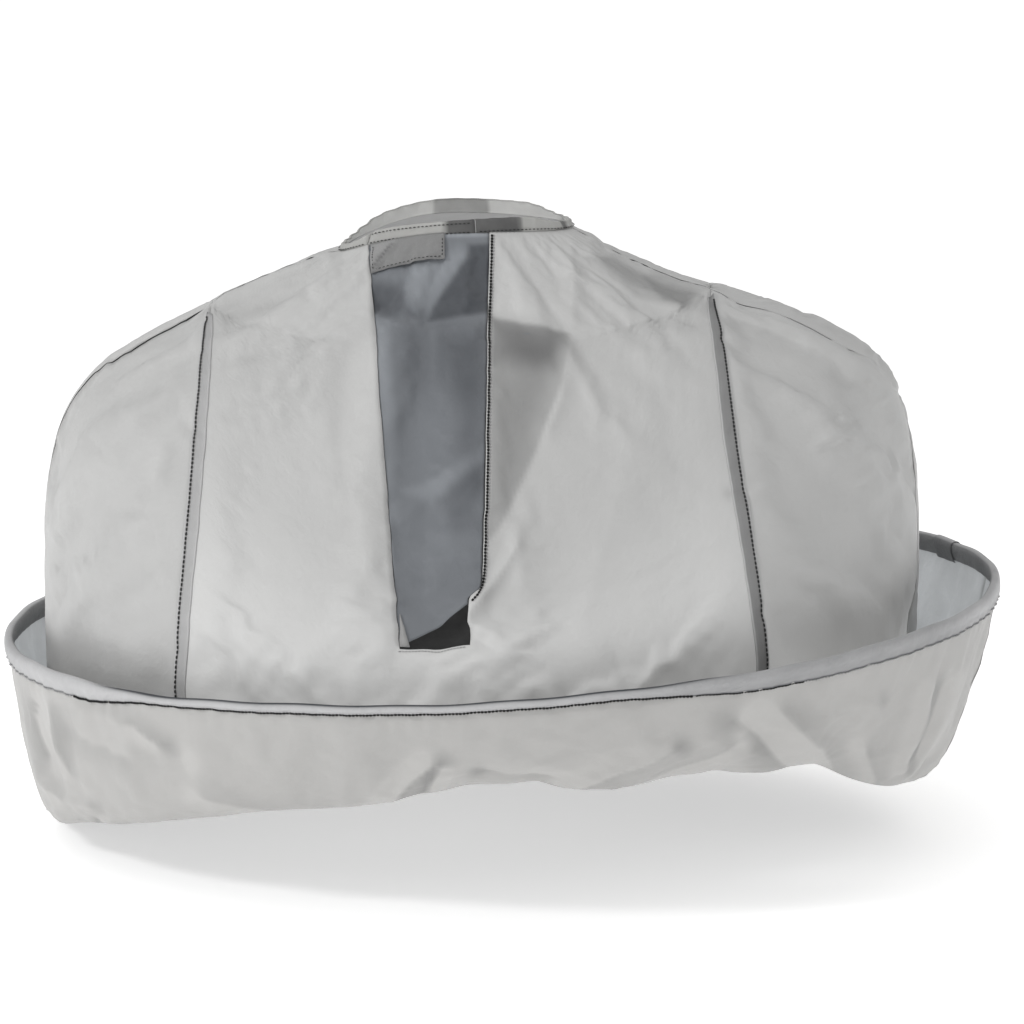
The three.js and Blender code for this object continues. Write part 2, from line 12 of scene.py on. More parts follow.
import bpy
import numpy as np
from mathutils import Vector
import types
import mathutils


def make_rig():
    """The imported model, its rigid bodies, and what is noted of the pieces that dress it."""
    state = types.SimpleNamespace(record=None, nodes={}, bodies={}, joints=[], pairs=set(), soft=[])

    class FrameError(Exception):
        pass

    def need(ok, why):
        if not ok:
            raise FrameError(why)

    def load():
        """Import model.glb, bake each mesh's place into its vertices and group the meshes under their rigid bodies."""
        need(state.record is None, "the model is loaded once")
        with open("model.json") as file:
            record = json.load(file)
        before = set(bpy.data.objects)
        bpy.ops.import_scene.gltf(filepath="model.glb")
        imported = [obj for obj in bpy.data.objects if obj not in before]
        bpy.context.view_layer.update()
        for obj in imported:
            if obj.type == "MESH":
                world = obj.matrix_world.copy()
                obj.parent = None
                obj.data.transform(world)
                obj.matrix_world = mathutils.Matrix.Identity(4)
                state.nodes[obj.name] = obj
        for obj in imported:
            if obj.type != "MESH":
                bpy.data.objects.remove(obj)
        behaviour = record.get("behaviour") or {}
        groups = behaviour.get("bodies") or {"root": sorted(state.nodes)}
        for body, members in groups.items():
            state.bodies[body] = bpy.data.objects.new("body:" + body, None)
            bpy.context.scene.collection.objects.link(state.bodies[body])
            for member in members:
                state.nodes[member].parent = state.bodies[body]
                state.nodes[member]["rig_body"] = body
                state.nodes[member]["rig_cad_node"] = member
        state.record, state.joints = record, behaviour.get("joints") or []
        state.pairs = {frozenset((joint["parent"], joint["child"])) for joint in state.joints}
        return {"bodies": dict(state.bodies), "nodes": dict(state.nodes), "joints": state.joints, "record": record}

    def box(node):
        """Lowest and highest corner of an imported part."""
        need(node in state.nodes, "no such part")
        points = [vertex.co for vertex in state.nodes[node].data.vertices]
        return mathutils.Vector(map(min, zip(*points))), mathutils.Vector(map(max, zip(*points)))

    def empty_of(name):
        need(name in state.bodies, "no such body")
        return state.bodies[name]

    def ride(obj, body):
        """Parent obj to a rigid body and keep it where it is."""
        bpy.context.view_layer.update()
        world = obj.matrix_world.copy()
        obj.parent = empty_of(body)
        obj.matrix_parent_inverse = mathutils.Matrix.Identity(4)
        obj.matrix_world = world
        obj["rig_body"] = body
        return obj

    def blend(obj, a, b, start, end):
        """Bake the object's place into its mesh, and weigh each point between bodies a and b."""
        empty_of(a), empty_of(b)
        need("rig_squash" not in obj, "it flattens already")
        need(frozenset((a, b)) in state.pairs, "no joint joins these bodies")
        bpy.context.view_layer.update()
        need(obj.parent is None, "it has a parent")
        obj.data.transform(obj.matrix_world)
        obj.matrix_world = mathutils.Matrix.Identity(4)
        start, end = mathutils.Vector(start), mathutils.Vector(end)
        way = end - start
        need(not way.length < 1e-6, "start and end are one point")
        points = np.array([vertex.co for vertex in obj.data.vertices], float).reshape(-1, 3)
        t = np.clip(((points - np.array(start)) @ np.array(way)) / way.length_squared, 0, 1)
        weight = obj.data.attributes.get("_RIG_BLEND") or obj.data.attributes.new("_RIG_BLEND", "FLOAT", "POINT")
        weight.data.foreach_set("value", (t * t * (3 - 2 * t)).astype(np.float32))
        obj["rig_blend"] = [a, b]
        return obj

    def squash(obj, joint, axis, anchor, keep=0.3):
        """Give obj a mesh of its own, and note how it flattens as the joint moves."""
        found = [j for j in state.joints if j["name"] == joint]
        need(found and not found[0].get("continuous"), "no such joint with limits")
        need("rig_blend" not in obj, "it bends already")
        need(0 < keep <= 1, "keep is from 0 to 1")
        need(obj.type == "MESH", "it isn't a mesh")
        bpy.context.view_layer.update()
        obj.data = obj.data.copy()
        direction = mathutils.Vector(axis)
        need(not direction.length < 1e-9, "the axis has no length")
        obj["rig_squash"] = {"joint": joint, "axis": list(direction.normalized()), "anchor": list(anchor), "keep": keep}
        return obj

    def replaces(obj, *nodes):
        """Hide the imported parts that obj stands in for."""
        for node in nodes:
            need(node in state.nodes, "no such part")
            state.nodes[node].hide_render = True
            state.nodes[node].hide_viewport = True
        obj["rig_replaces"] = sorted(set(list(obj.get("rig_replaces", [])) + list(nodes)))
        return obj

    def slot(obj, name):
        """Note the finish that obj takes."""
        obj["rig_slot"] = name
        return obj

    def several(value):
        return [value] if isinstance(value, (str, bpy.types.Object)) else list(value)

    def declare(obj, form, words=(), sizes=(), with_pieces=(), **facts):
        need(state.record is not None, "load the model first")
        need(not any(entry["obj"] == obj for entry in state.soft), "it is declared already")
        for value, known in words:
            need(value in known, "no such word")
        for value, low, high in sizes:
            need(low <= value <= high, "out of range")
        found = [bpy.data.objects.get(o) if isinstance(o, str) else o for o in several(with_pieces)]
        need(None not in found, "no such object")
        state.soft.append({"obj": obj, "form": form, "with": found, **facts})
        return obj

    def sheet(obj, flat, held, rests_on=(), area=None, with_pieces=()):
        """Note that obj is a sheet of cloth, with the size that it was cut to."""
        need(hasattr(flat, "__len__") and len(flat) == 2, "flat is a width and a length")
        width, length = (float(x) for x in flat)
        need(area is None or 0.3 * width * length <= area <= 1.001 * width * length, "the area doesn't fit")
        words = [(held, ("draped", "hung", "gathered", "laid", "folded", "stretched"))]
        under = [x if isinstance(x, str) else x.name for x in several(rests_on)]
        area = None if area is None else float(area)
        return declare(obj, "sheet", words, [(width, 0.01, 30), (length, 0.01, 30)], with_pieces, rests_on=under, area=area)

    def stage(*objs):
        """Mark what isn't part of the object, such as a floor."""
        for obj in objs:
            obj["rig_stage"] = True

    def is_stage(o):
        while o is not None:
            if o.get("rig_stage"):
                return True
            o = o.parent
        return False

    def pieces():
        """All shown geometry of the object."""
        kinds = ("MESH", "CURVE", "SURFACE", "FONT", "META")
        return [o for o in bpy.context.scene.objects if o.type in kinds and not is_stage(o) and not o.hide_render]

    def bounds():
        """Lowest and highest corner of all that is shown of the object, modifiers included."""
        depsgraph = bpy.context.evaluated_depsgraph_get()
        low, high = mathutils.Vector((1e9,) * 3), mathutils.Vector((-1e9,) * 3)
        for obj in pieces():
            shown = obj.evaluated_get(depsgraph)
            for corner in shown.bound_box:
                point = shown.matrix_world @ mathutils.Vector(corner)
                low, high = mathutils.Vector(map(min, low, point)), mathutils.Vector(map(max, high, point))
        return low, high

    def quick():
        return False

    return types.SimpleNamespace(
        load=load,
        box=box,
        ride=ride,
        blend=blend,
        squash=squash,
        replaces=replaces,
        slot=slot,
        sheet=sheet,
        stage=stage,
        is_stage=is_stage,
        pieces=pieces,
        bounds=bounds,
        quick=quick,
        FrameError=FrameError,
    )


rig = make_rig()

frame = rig.load()
cad_box = [list(corner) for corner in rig.bounds()]
MM = 0.001
TURN = 2 * math.pi
print("CAD box in metres:", [[round(x, 3) for x in corner] for corner in cad_box])

# %% [markdown]
# ## Camera
# The object is seen almost square on, from a little above. A very long lens from far away gives that
# flattened view, in which parallel edges stay parallel.

# %% Place the camera
scene = bpy.context.scene
CAMERA_HEIGHT = math.radians(10.5)
CAMERA_DISTANCE = 10.0
FRAME_WIDTH = 0.9728  # width of the view at the object
SENSOR = 36.0
aim = Vector((0.0542, 0, -0.2667))
camera = bpy.data.objects.new("camera", bpy.data.cameras.new("camera"))
camera.data.sensor_width = SENSOR
camera.data.lens = SENSOR * CAMERA_DISTANCE / FRAME_WIDTH
camera.data.clip_end = 200
camera.location = aim + CAMERA_DISTANCE * Vector((0, -math.cos(CAMERA_HEIGHT), math.sin(CAMERA_HEIGHT)))
camera.rotation_euler = (math.pi / 2 - CAMERA_HEIGHT, 0, 0)
scene.collection.objects.link(camera)
scene.camera = camera
print(f"lens {camera.data.lens:.0f} mm")

# %% [markdown]
# ## Floor and light
# Pale cloth needs light that comes mostly from one side, or its folds vanish. A bright even sky gives the
# soft base, and a lamp far round on the left rakes across the front. The floor is a wide pale plane just under
# the lowest fold, and glows a little, so that it stays white.

# %% Make the floor and the lights
floor_data = bpy.data.meshes.new("floor")
FLOOR_HALF, FLOOR_GAP = 60, 6 * MM
FLOOR_GLOW, SKY_STRENGTH = 0.5, 0.58
floor_z = cad_box[0][2] - FLOOR_GAP
corners = [(-1, -1), (1, -1), (1, 1), (-1, 1)]
floor_data.from_pydata([(FLOOR_HALF * x, FLOOR_HALF * y, floor_z) for x, y in corners], [], [(0, 1, 2, 3)])
floor = bpy.data.objects.new("floor", floor_data)
scene.collection.objects.link(floor)
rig.stage(floor)

scene.view_settings.view_transform = "Standard"
world = bpy.data.worlds.new("studio")
scene.world = world
world.use_nodes = True
world.node_tree.nodes["Background"].inputs["Color"].default_value = (1, 1, 1, 1)
world.node_tree.nodes["Background"].inputs["Strength"].default_value = SKY_STRENGTH


def area_light(name, place, size, power):
    data = bpy.data.lights.new(name, "AREA")
    data.shape = "DISK"
    data.size = size
    data.energy = power
    light = bpy.data.objects.new(name, data)
    light.location = place
    light.rotation_euler = (aim - Vector(place)).to_track_quat("-Z", "Y").to_euler()
    scene.collection.objects.link(light)


area_light("left_key", (-2.9, -1.6, 1.7), 0.8, 44)
area_light("top_fill", (0.4, -0.2, 3.2), 2.0, 16)
print("lights:", [o.name for o in scene.objects if o.type == "LIGHT"])

# %% [markdown]
# ## The sizes
# The real pattern has few sizes, and everything is drafted from them: the neck, the dome's reach to each
# side, the hoop and the trough's depth. The hoop is read from the frame, because a ring's box gives its
# radius and middle exactly.

# %% Name the sizes
NECK_LEFT, NECK_RIGHT, NECK_DEPTH = 107 * MM, 110 * MM, 60 * MM
NECK_Z = {"left": -15 * MM, "right": 8 * MM, "front": 12 * MM}
DOME_LEFT, DOME_RIGHT, DOME_DEPTH = 385 * MM, 436 * MM, 408 * MM
HOOP_DEPTH = 358 * MM
TROUGH_DEPTH = {"left": 202 * MM, "right": 167 * MM, "front": 102 * MM}
FOLD_LIFT = 35 * MM
HOOP_ROLL = math.radians(3.45)
SIDE_SEAM_FORWARD = math.radians(7)
SEAM_SPREAD_LEFT, SEAM_SPREAD_RIGHT = 26 * MM, 51 * MM
CLOTH = 0.35 * MM

low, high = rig.box("hoop_wire")
WIRE_RADIUS = 1.5 * MM
HOOP_RADIUS = (high.y - low.y) / 2 - WIRE_RADIUS
HOOP_CENTRE = np.array((low + high) / 2)
print(f"hoop radius {HOOP_RADIUS / MM:.1f} mm, middle {(HOOP_CENTRE / MM).round(1)} mm")

# %% [markdown]
# ## The dome's surface
# Three ribs run from the neck to the fold at the hem: one down each side and one down the front, which the
# back repeats. Between the ribs the cross-section is part of an ellipse. Each rib is a smooth spline through
# eight points, given as shares of the way out and of the way down. A surface written as a function is easier
# to cut into panels than a modelled mesh, because any seam is just a line on it.

# %% Make the ribs and the dome
LEFT_SHAPE = [
    (0, 0), (0.222, 0.047), (0.433, 0.098), (0.715, 0.168),
    (0.912, 0.272), (0.99, 0.413), (1, 0.615), (0.98, 1),
]
RIGHT_SHAPE = [
    (0, 0), (0.182, 0.055), (0.4, 0.113), (0.682, 0.161),
    (0.903, 0.25), (0.982, 0.376), (1, 0.615), (0.988, 1),
]
FRONT_SHAPE = [
    (0, 0), (0.131, 0.102), (0.259, 0.203), (0.452, 0.356),
    (0.634, 0.5), (0.797, 0.627), (0.96, 0.756), (1, 1),
]
SHOULDER = 2 / (len(LEFT_SHAPE) - 1)


def lerp(a, b, t):
    return a + (b - a) * t


def smooth(t):
    """0 below 0, 1 above 1, and a soft S between."""
    t = np.clip(t, 0, 1)
    return t * t * (3 - 2 * t)


def rib(shape, neck, neck_z, reach, side):
    fold_z = -HOOP_DEPTH - TROUGH_DEPTH[side]
    return np.array([(lerp(neck, reach, out), lerp(neck_z, fold_z, down)) for out, down in shape])


LEFT_RIB = rib(LEFT_SHAPE, NECK_LEFT, NECK_Z["left"], DOME_LEFT, "left")
RIGHT_RIB = rib(RIGHT_SHAPE, NECK_RIGHT, NECK_Z["right"], DOME_RIGHT, "right")
FRONT_RIB = rib(FRONT_SHAPE, NECK_DEPTH, NECK_Z["front"], DOME_DEPTH, "front")


def on_rib(points, v):
    """Catmull-Rom spline through the points, for v from 0 at the neck to 1 at the fold."""
    place = np.clip(np.asarray(v, float), 0, 1) * (len(points) - 1)
    first = np.minimum(place.astype(int), len(points) - 2)
    t = (place - first)[..., None]
    before, here = points[np.maximum(first - 1, 0)], points[first]
    ahead, beyond = points[first + 1], points[np.minimum(first + 2, len(points) - 1)]
    start, end = (ahead - before) / 2, (beyond - here) / 2
    cube, square = 2 * here - 2 * ahead + start + end, 3 * ahead - 3 * here - 2 * start - end
    return ((cube * t + square) * t + start) * t + here


def smooth_dome(angle, v):
    """The dome without wrinkles. The angle runs anticlockwise from +X, so the front is at 270 degrees."""
    angle, v = np.broadcast_arrays(np.asarray(angle, float), np.asarray(v, float))
    left, right, front = on_rib(LEFT_RIB, v), on_rib(RIGHT_RIB, v), on_rib(FRONT_RIB, v)
    across, along = np.cos(angle), np.sin(angle)
    side_z = np.where(across < 0, left[..., 1], right[..., 1])
    lift = np.where((across > 0) & (along < 0), FOLD_LIFT * v**4 * np.sin(2 * angle) ** 2, 0)
    x = lerp(-left[..., 0], right[..., 0], (1 + across) / 2)
    z = side_z * across**2 + front[..., 1] * along**2 + lift
    return np.stack([x, front[..., 0] * along, z], -1)


def angle_at(x, v):
    """The angle on the front half at which the dome crosses x."""
    left, right = on_rib(LEFT_RIB, v)[..., 0], on_rib(RIGHT_RIB, v)[..., 0]
    share = (2 * np.asarray(x) - (right - left)) / (right + left)
    return TURN - np.arccos(np.clip(share, -1, 1))


def normals(surface, angle, v, step=5e-4):
    around = surface(angle + step, v) - surface(angle - step, v)
    upwards = surface(angle, np.maximum(v - step, 0)) - surface(angle, np.minimum(v + step, 1))
    out = np.cross(around, upwards)
    return out / np.maximum(np.linalg.norm(out, axis=-1, keepdims=True), 1e-12)


def metres_per_radian(angle, v, step=5e-4):
    """How far the dome's cloth runs round the body for each radian."""
    return np.linalg.norm(smooth_dome(angle + step, v) - smooth_dome(angle - step, v), axis=-1) / (2 * step)


print(f"dome from x {smooth_dome(math.pi, 0.7)[0]:.3f} to {smooth_dome(0, 0.7)[0]:.3f} m")

# %% [markdown]
# ## The trough wall's surface
# The wall hangs inside the casing on the hoop and curves in to the fold, where the dome's cloth turns up.
# At each angle it is a short straight, then one curve with its belly at the fold's height.

# %% Make the wall
WALL_TOP, LEG_FOOT = 3.8 * MM, 13 * MM
STRAIGHT_SHARE = 0.12


def on_hoop(angle, drop, reach=0.0):
    """A point in the hoop's tilted plane: reach outside the wire and drop below it."""
    angle, drop, reach = np.broadcast_arrays(np.asarray(angle, float), drop, reach)
    radius = HOOP_RADIUS + reach
    x, z = radius * np.cos(angle), -drop
    turned_x = x * math.cos(HOOP_ROLL) - z * math.sin(HOOP_ROLL)
    turned_z = x * math.sin(HOOP_ROLL) + z * math.cos(HOOP_ROLL)
    return np.stack([turned_x, radius * np.sin(angle), turned_z], -1) + HOOP_CENTRE


def smooth_wall(angle, v):
    angle, v = np.broadcast_arrays(np.asarray(angle, float), np.asarray(v, float))
    straight = on_hoop(angle, lerp(WALL_TOP, LEG_FOOT, np.clip(v / STRAIGHT_SHARE, 0, 1)))
    start, end = on_hoop(angle, LEG_FOOT), smooth_dome(angle, 1)
    belly = (start + end) / 2
    belly[..., 2] = end[..., 2]
    t = np.clip((v - STRAIGHT_SHARE) / (1 - STRAIGHT_SHARE), 0, 1)[..., None]
    curved = start * (1 - t) ** 2 + belly * 2 * t * (1 - t) + end * t**2
    return np.where((v <= STRAIGHT_SHARE)[..., None], straight, curved)


run = smooth_wall(1.5 * math.pi, np.linspace(0, 1, 60))
print(f"trough wall {np.linalg.norm(np.diff(run, axis=0), axis=1).sum() / MM:.0f} mm high at the front")

# %% [markdown]
# ## Where the seams run
# The side seams follow the ridges down to the shoulder, and there each one splits: it goes on down the side,
# and a front and a back seam leave it, spreading outwards a little. They only need an x for each height.

# %% Trace the seams
LEFT_SIDE, RIGHT_SIDE = math.pi, TURN - SIDE_SEAM_FORWARD


def seam_angle(v, left, front=True):
    side = LEFT_SIDE if left else RIGHT_SIDE
    share = np.clip((np.asarray(v, float) - SHOULDER) / (1 - SHOULDER), 0, 1)
    x = smooth_dome(side, SHOULDER)[0] + share * (-SEAM_SPREAD_LEFT if left else SEAM_SPREAD_RIGHT)
    angle = angle_at(x, np.maximum(v, SHOULDER))
    angle = np.where(share <= 0, side, np.maximum(angle, side) if left else np.minimum(angle, side))
    return angle if front else TURN - angle


def slit_angle(x_at_height, v):
    """The angle of a line on the front that is given as an x for each height z."""
    angle = angle_at(x_at_height(on_rib(FRONT_RIB, v)[..., 1]), v)
    for _ in range(3):
        angle = angle_at(x_at_height(smooth_dome(angle, v)[..., 2]), v)
    return angle


seam_feet = [round(float(smooth_dome(seam_angle(1, left), 1)[0]), 3) for left in (True, False)]
print("front seams at the fold:", seam_feet)

# %% [markdown]
# ## Wrinkles from a cloth simulation
# Real nylon is cut a little larger than the shape it hangs on, so it buckles softly between its seams. One
# closed sheet, the dome and the trough wall together, is made a little too large and left to settle, with its
# neck and hoop held and its seams held softly. Only the waves are wanted, not the sag, so the broad part of
# each point's movement is taken away again. What is left is a field over angle and v that every piece reads.

# %% Settle the cloth
FIELD_AROUND, FIELD_DOWN, FIELD_WALL = 200, 84, 26
SHRINK = -0.02  # below zero the cloth grows
STEPS = 22
BROAD_PASSES = 26
MOST_WAVE = 5 * MM
LOOSE, AT_FOLD, AT_SEAM, FIXED = 0.02, 0.1, 0.2, 1  # how firmly each part of the cloth is held
SEAM_REACH = 9 * MM


def blurred(field, passes):
    """Softens a field that closes on itself around and stops at its top and bottom rows."""
    for _ in range(passes):
        field = (np.roll(field, 1, 1) + 2 * field + np.roll(field, -1, 1)) / 4
        padded = np.concatenate([field[:1], field, field[-1:]])
        field = (padded[:-2] + 2 * padded[1:-1] + padded[2:]) / 4
    return field


def settle():
    angles = np.linspace(0, TURN, FIELD_AROUND, endpoint=False)
    dome_grid = np.meshgrid(angles, np.linspace(0, 1, FIELD_DOWN))
    wall_grid = np.meshgrid(angles, np.linspace(1, 0, FIELD_WALL)[1:])
    start = np.concatenate([smooth_dome(*dome_grid), smooth_wall(*wall_grid)])
    out = np.concatenate([normals(smooth_dome, *dome_grid), -normals(smooth_wall, *wall_grid)])
    rows = len(start)
    nudge = np.random.default_rng(7).normal(0, 0.5 * MM, start.shape[:2])[..., None]
    data = bpy.data.meshes.new("settling")
    ring = [(c, (c + 1) % FIELD_AROUND) for c in range(FIELD_AROUND)]
    faces = [
        (r * FIELD_AROUND + a, (r + 1) * FIELD_AROUND + a, (r + 1) * FIELD_AROUND + b, r * FIELD_AROUND + b)
        for r in range(rows - 1)
        for a, b in ring
    ]
    data.from_pydata((start + out * nudge).reshape(-1, 3).tolist(), [], faces)
    sheet = bpy.data.objects.new("settling", data)
    scene.collection.objects.link(sheet)

    held = np.full(start.shape[:2], LOOSE)
    angle, v = dome_grid
    for left in (True, False):
        for front in (True, False):
            seam = seam_angle(v, left, front) % TURN
            gap = abs((angle - seam + math.pi) % TURN - math.pi) * on_rib(FRONT_RIB, v)[..., 0]
            held[:FIELD_DOWN] = np.where(gap < SEAM_REACH, AT_SEAM, held[:FIELD_DOWN])
    held[FIELD_DOWN - 1] = AT_FOLD
    held[0], held[-2:] = FIXED, FIXED
    group = sheet.vertex_groups.new(name="held")
    for level in np.unique(held):
        group.add(np.flatnonzero(held.ravel() == level).tolist(), float(level), "REPLACE")
    cloth = sheet.modifiers.new("cloth", "CLOTH")
    cloth.settings.quality = 5
    cloth.settings.mass = 0.08
    cloth.settings.tension_stiffness = cloth.settings.compression_stiffness = 14
    cloth.settings.shear_stiffness = 4
    cloth.settings.bending_stiffness = 0.12
    cloth.settings.air_damping = 4
    cloth.settings.vertex_group_mass = "held"
    cloth.settings.pin_stiffness = 2
    cloth.settings.shrink_min = SHRINK
    cloth.settings.effector_weights.gravity = 0.3
    cloth.collision_settings.use_collision = False
    cloth.collision_settings.use_self_collision = False
    cloth.point_cache.frame_start, cloth.point_cache.frame_end = 1, STEPS
    for step in range(1, STEPS + 1):
        scene.frame_set(step)
    settled = np.zeros(start.size, np.float32)
    sheet.evaluated_get(bpy.context.evaluated_depsgraph_get()).data.vertices.foreach_get("co", settled)
    scene.frame_set(1)
    bpy.data.objects.remove(sheet)
    bpy.data.meshes.remove(data)
    move = settled.reshape(start.shape) - start
    move -= blurred(move, BROAD_PASSES)
    size = np.linalg.norm(move, axis=2, keepdims=True)
    move *= MOST_WAVE * np.tanh(size / MOST_WAVE) / np.maximum(size, 1e-9)
    move *= np.minimum(1, np.arange(rows)[:, None, None] / 5)  # calm at the neck
    return move[:FIELD_DOWN], move[FIELD_DOWN - 1:][::-1]


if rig.quick():
    dome_waves, wall_waves = np.zeros((FIELD_DOWN, FIELD_AROUND, 3)), np.zeros((FIELD_WALL, FIELD_AROUND, 3))
else:
    dome_waves, wall_waves = settle()
print(f"waves of {np.linalg.norm(dome_waves, axis=2).mean() / MM:.2f} mm on average")


def spline_weights(t):
    return (
        t * (-0.5 + t * (1 - 0.5 * t)), 1 + t * t * (-2.5 + 1.5 * t),
        t * (0.5 + t * (2 - 1.5 * t)), t * t * (-0.5 + 0.5 * t),
    )


def read_field(field, angle, v):
    """Reads a field at any angle and v, with a cubic spline each way so that no grid shows."""
    rows, columns = field.shape[:2]
    row = np.clip(v, 0, 1) * (rows - 1)
    column = (angle / TURN % 1) * columns
    r, c = np.floor(row).astype(int), np.floor(column).astype(int)
    total = 0
    for i, across in enumerate(spline_weights(row - r)):
        for j, along in enumerate(spline_weights(column - c)):
            value = field[np.clip(r + i - 1, 0, rows - 1), (c + j - 1) % columns]
            total += (across * along)[..., None] * value
    return total

# %% [markdown]
# ## Creases and hem folds
# Sharp creases come from how the cape was folded and handled, so they are placed one by one, as a maker's
# hand would press them: each is a short line on the front, seen square on, with a height and a width. A minus
# height is a valley. The hem's folds are waves of the lowest edge, which the dome and the wall share.

# %% Place the creases
FRONT_CREASES = [  # points (x, z) in mm, height in mm, half width in mm
    ([(31, -54), (62, -62), (108, -71)], -2.6, 16),
    ([(110, -10), (111, -43), (109, -76), (100, -124), (88, -150)], 2.0, 14),
    ([(-218, -58), (-195, -47), (-157, -30), (-119, -18)], 3.0, 11),
    ([(-210, -74), (-176, -57), (-138, -46)], -2.4, 10),
    ([(-200, -96), (-170, -84), (-150, -86)], 1.6, 12),
    ([(-318, -104), (-280, -82), (-237, -65)], 3.0, 12),
    ([(-330, -126), (-285, -104), (-250, -92)], -2.4, 12),
    ([(-300, -150), (-262, -124)], 1.6, 14),
    ([(-375, -276), (-361, -251)], 2.6, 10),
    ([(-270, -179), (-276, -200)], 2.4, 9),
    ([(-300, -308), (-280, -282)], -2.0, 10),
    ([(-352, -330), (-318, -300)], 1.6, 12),
    ([(-385, -388), (-347, -371), (-300, -368)], -2.2, 9),
    ([(-372, -410), (-330, -392)], 1.8, 10),
    ([(-249, -156), (-236, -160)], -2.2, 7),
    ([(142, -3), (176, -25), (223, -44)], -3.2, 9),
    ([(128, -12), (160, -36), (210, -58)], 2.6, 12),
    ([(223, -44), (271, -56), (328, -82), (404, -125)], 2.6, 9),
    ([(240, -62), (289, -76), (347, -98), (380, -122)], -2.6, 10),
    ([(252, -70), (262, -96), (268, -120)], 1.2, 14),
    ([(360, -118), (372, -128), (384, -126)], -2.4, 8),
    ([(352, -136), (366, -150)], 1.6, 9),
    ([(257, -206), (276, -203)], -2.0, 7),
    ([(-119, -142), (-104, -207)], 1.2, 22),
    ([(-98, -90), (-108, -160), (-92, -230)], -1.0, 20),
    ([(14, -300), (26, -286), (40, -270), (58, -244)], 2.4, 8),
    ([(18, -318), (38, -330)], -1.6, 9),
    ([(176, -369), (194, -352)], 1.4, 10),
    ([(150, -330), (166, -376)], -1.0, 14),
    ([(-200, -330), (-150, -372), (-96, -380)], -1.6, 14),
    ([(-190, -352), (-120, -392)], 1.4, 10),
    ([(-90, -300), (-140, -340)], 0.9, 18),
    ([(300, -230), (340, -280), (352, -330)], 1.2, 22),
    ([(330, -180), (372, -222)], -1.0, 18),
    ([(180, -140), (150, -210), (120, -300)], 0.9, 30),
]
FLAP_CREASES = [
    ([(-80, -48), (-62, -53), (-38, -57), (-5, -56), (30, -55)], -4.2, 13),
    ([(-76, -56), (-40, -66), (0, -65), (30, -70)], 2.2, 9),
    ([(-8, -44), (10, -40), (31, -44)], 2.0, 8),
    ([(-66, -8), (-50, -30), (-36, -50)], 1.6, 12),
    ([(28, -164), (-14, -189), (-47, -222)], 2.4, 14),
    ([(26, -150), (-10, -166)], -1.8, 9),
    ([(-40, -246), (-8, -228), (24, -214)], -1.6, 12),
    ([(-54, -247), (-15, -251), (26, -256)], 2.2, 10),
    ([(-20, -226), (6, -212), (22, -196)], 1.4, 9),
    ([(-30, -90), (-24, -130), (-34, -180)], -1.2, 22),
]
BACK_CREASES = [
    ([(-215, -62), (-160, -34), (-120, -20)], 2.6, 12),
    ([(-310, -110), (-250, -70)], -2.4, 12),
    ([(140, -8), (200, -40), (230, -60)], -2.8, 11),
    ([(250, -60), (330, -90), (400, -140)], 2.4, 12),
    ([(-60, -20), (-90, -120), (-70, -240)], 1.6, 26),
    ([(80, -30), (110, -150), (90, -280)], -1.6, 26),
    ([(-20, -90), (10, -210), (-10, -330)], 1.2, 30),
    ([(-330, -300), (-280, -340)], 1.6, 14),
    ([(300, -240), (350, -300)], -1.4, 18),
    ([(-180, -330), (-90, -380)], -1.6, 14),
]


def line_distance(x, z, points):
    """Distance in mm from each (x, z) to the line through the points."""
    nearest = np.full(np.shape(x), 1e9)
    for (ax, az), (bx, bz) in zip(points, points[1:]):
        dx, dz = bx - ax, bz - az
        share = np.clip(((x - ax) * dx + (z - az) * dz) / (dx * dx + dz * dz), 0, 1)
        nearest = np.minimum(nearest, np.hypot(x - ax - share * dx, z - az - share * dz))
    return nearest


def crease_height(point, creases):
    """How far the creases push each point out, in metres."""
    x, z = point[..., 0] / MM, point[..., 2] / MM
    total = np.zeros(x.shape)
    for points, height, half_width in creases:
        near = np.maximum(1 - line_distance(x, z, points) / (1.5 * half_width), 0)
        total += height * MM * near**1.8
    return total


def slant(point, height, amount):
    """Shade of thin cloth: darker where a crease turns it away from the key light, and lighter towards it."""
    spacing = np.linalg.norm(np.gradient(point, axis=1), axis=-1)
    slope = np.gradient(height, axis=1) / (spacing + 1e-9)
    return amount * np.clip(-slope, -0.35, 0.35)


HEM_FOLDS = [  # middle x, half width and drop in mm, for the front
    (-345, 95, -12), (-372, 16, 5), (-310, 20, 2), (-190, 60, -4), (-40, 30, -7), (18, 34, -15),
    (70, 30, -17), (125, 32, -5), (200, 28, -6), (235, 24, -6), (330, 26, -9), (385, 26, 2), (440, 24, -8),
]
BACK_HEM_FOLDS = [
    (-330, 30, 6), (-240, 34, -5), (-140, 40, 4), (-16, 84, 27), (70, 34, 7), (180, 40, -5), (300, 36, 6),
]
SIDE_FADE = 60 * MM  # the folds die out over this depth towards each side seam


def hem_drop(angle):
    """How far the hem hangs below its smooth line, in metres."""
    point = smooth_dome(angle, 1)
    x = point[..., 0] / MM
    total = np.zeros(x.shape)
    for folds, here in ((HEM_FOLDS, point[..., 1] < 0), (BACK_HEM_FOLDS, point[..., 1] >= 0)):
        for middle, half_width, drop in folds:
            total += np.where(here, drop * MM * np.exp(-(((x - middle) / half_width) ** 2)), 0)
    return total * smooth(abs(point[..., 1]) / SIDE_FADE)


print(f"{len(FRONT_CREASES) + len(FLAP_CREASES) + len(BACK_CREASES)} creases")

# %% [markdown]
# ## The two finished surfaces
# These are the only two functions that the pieces use. Each adds the waves, the creases and the hem's folds
# to the smooth surface, and can lift a point off the cloth, for what is sewn on top of it.

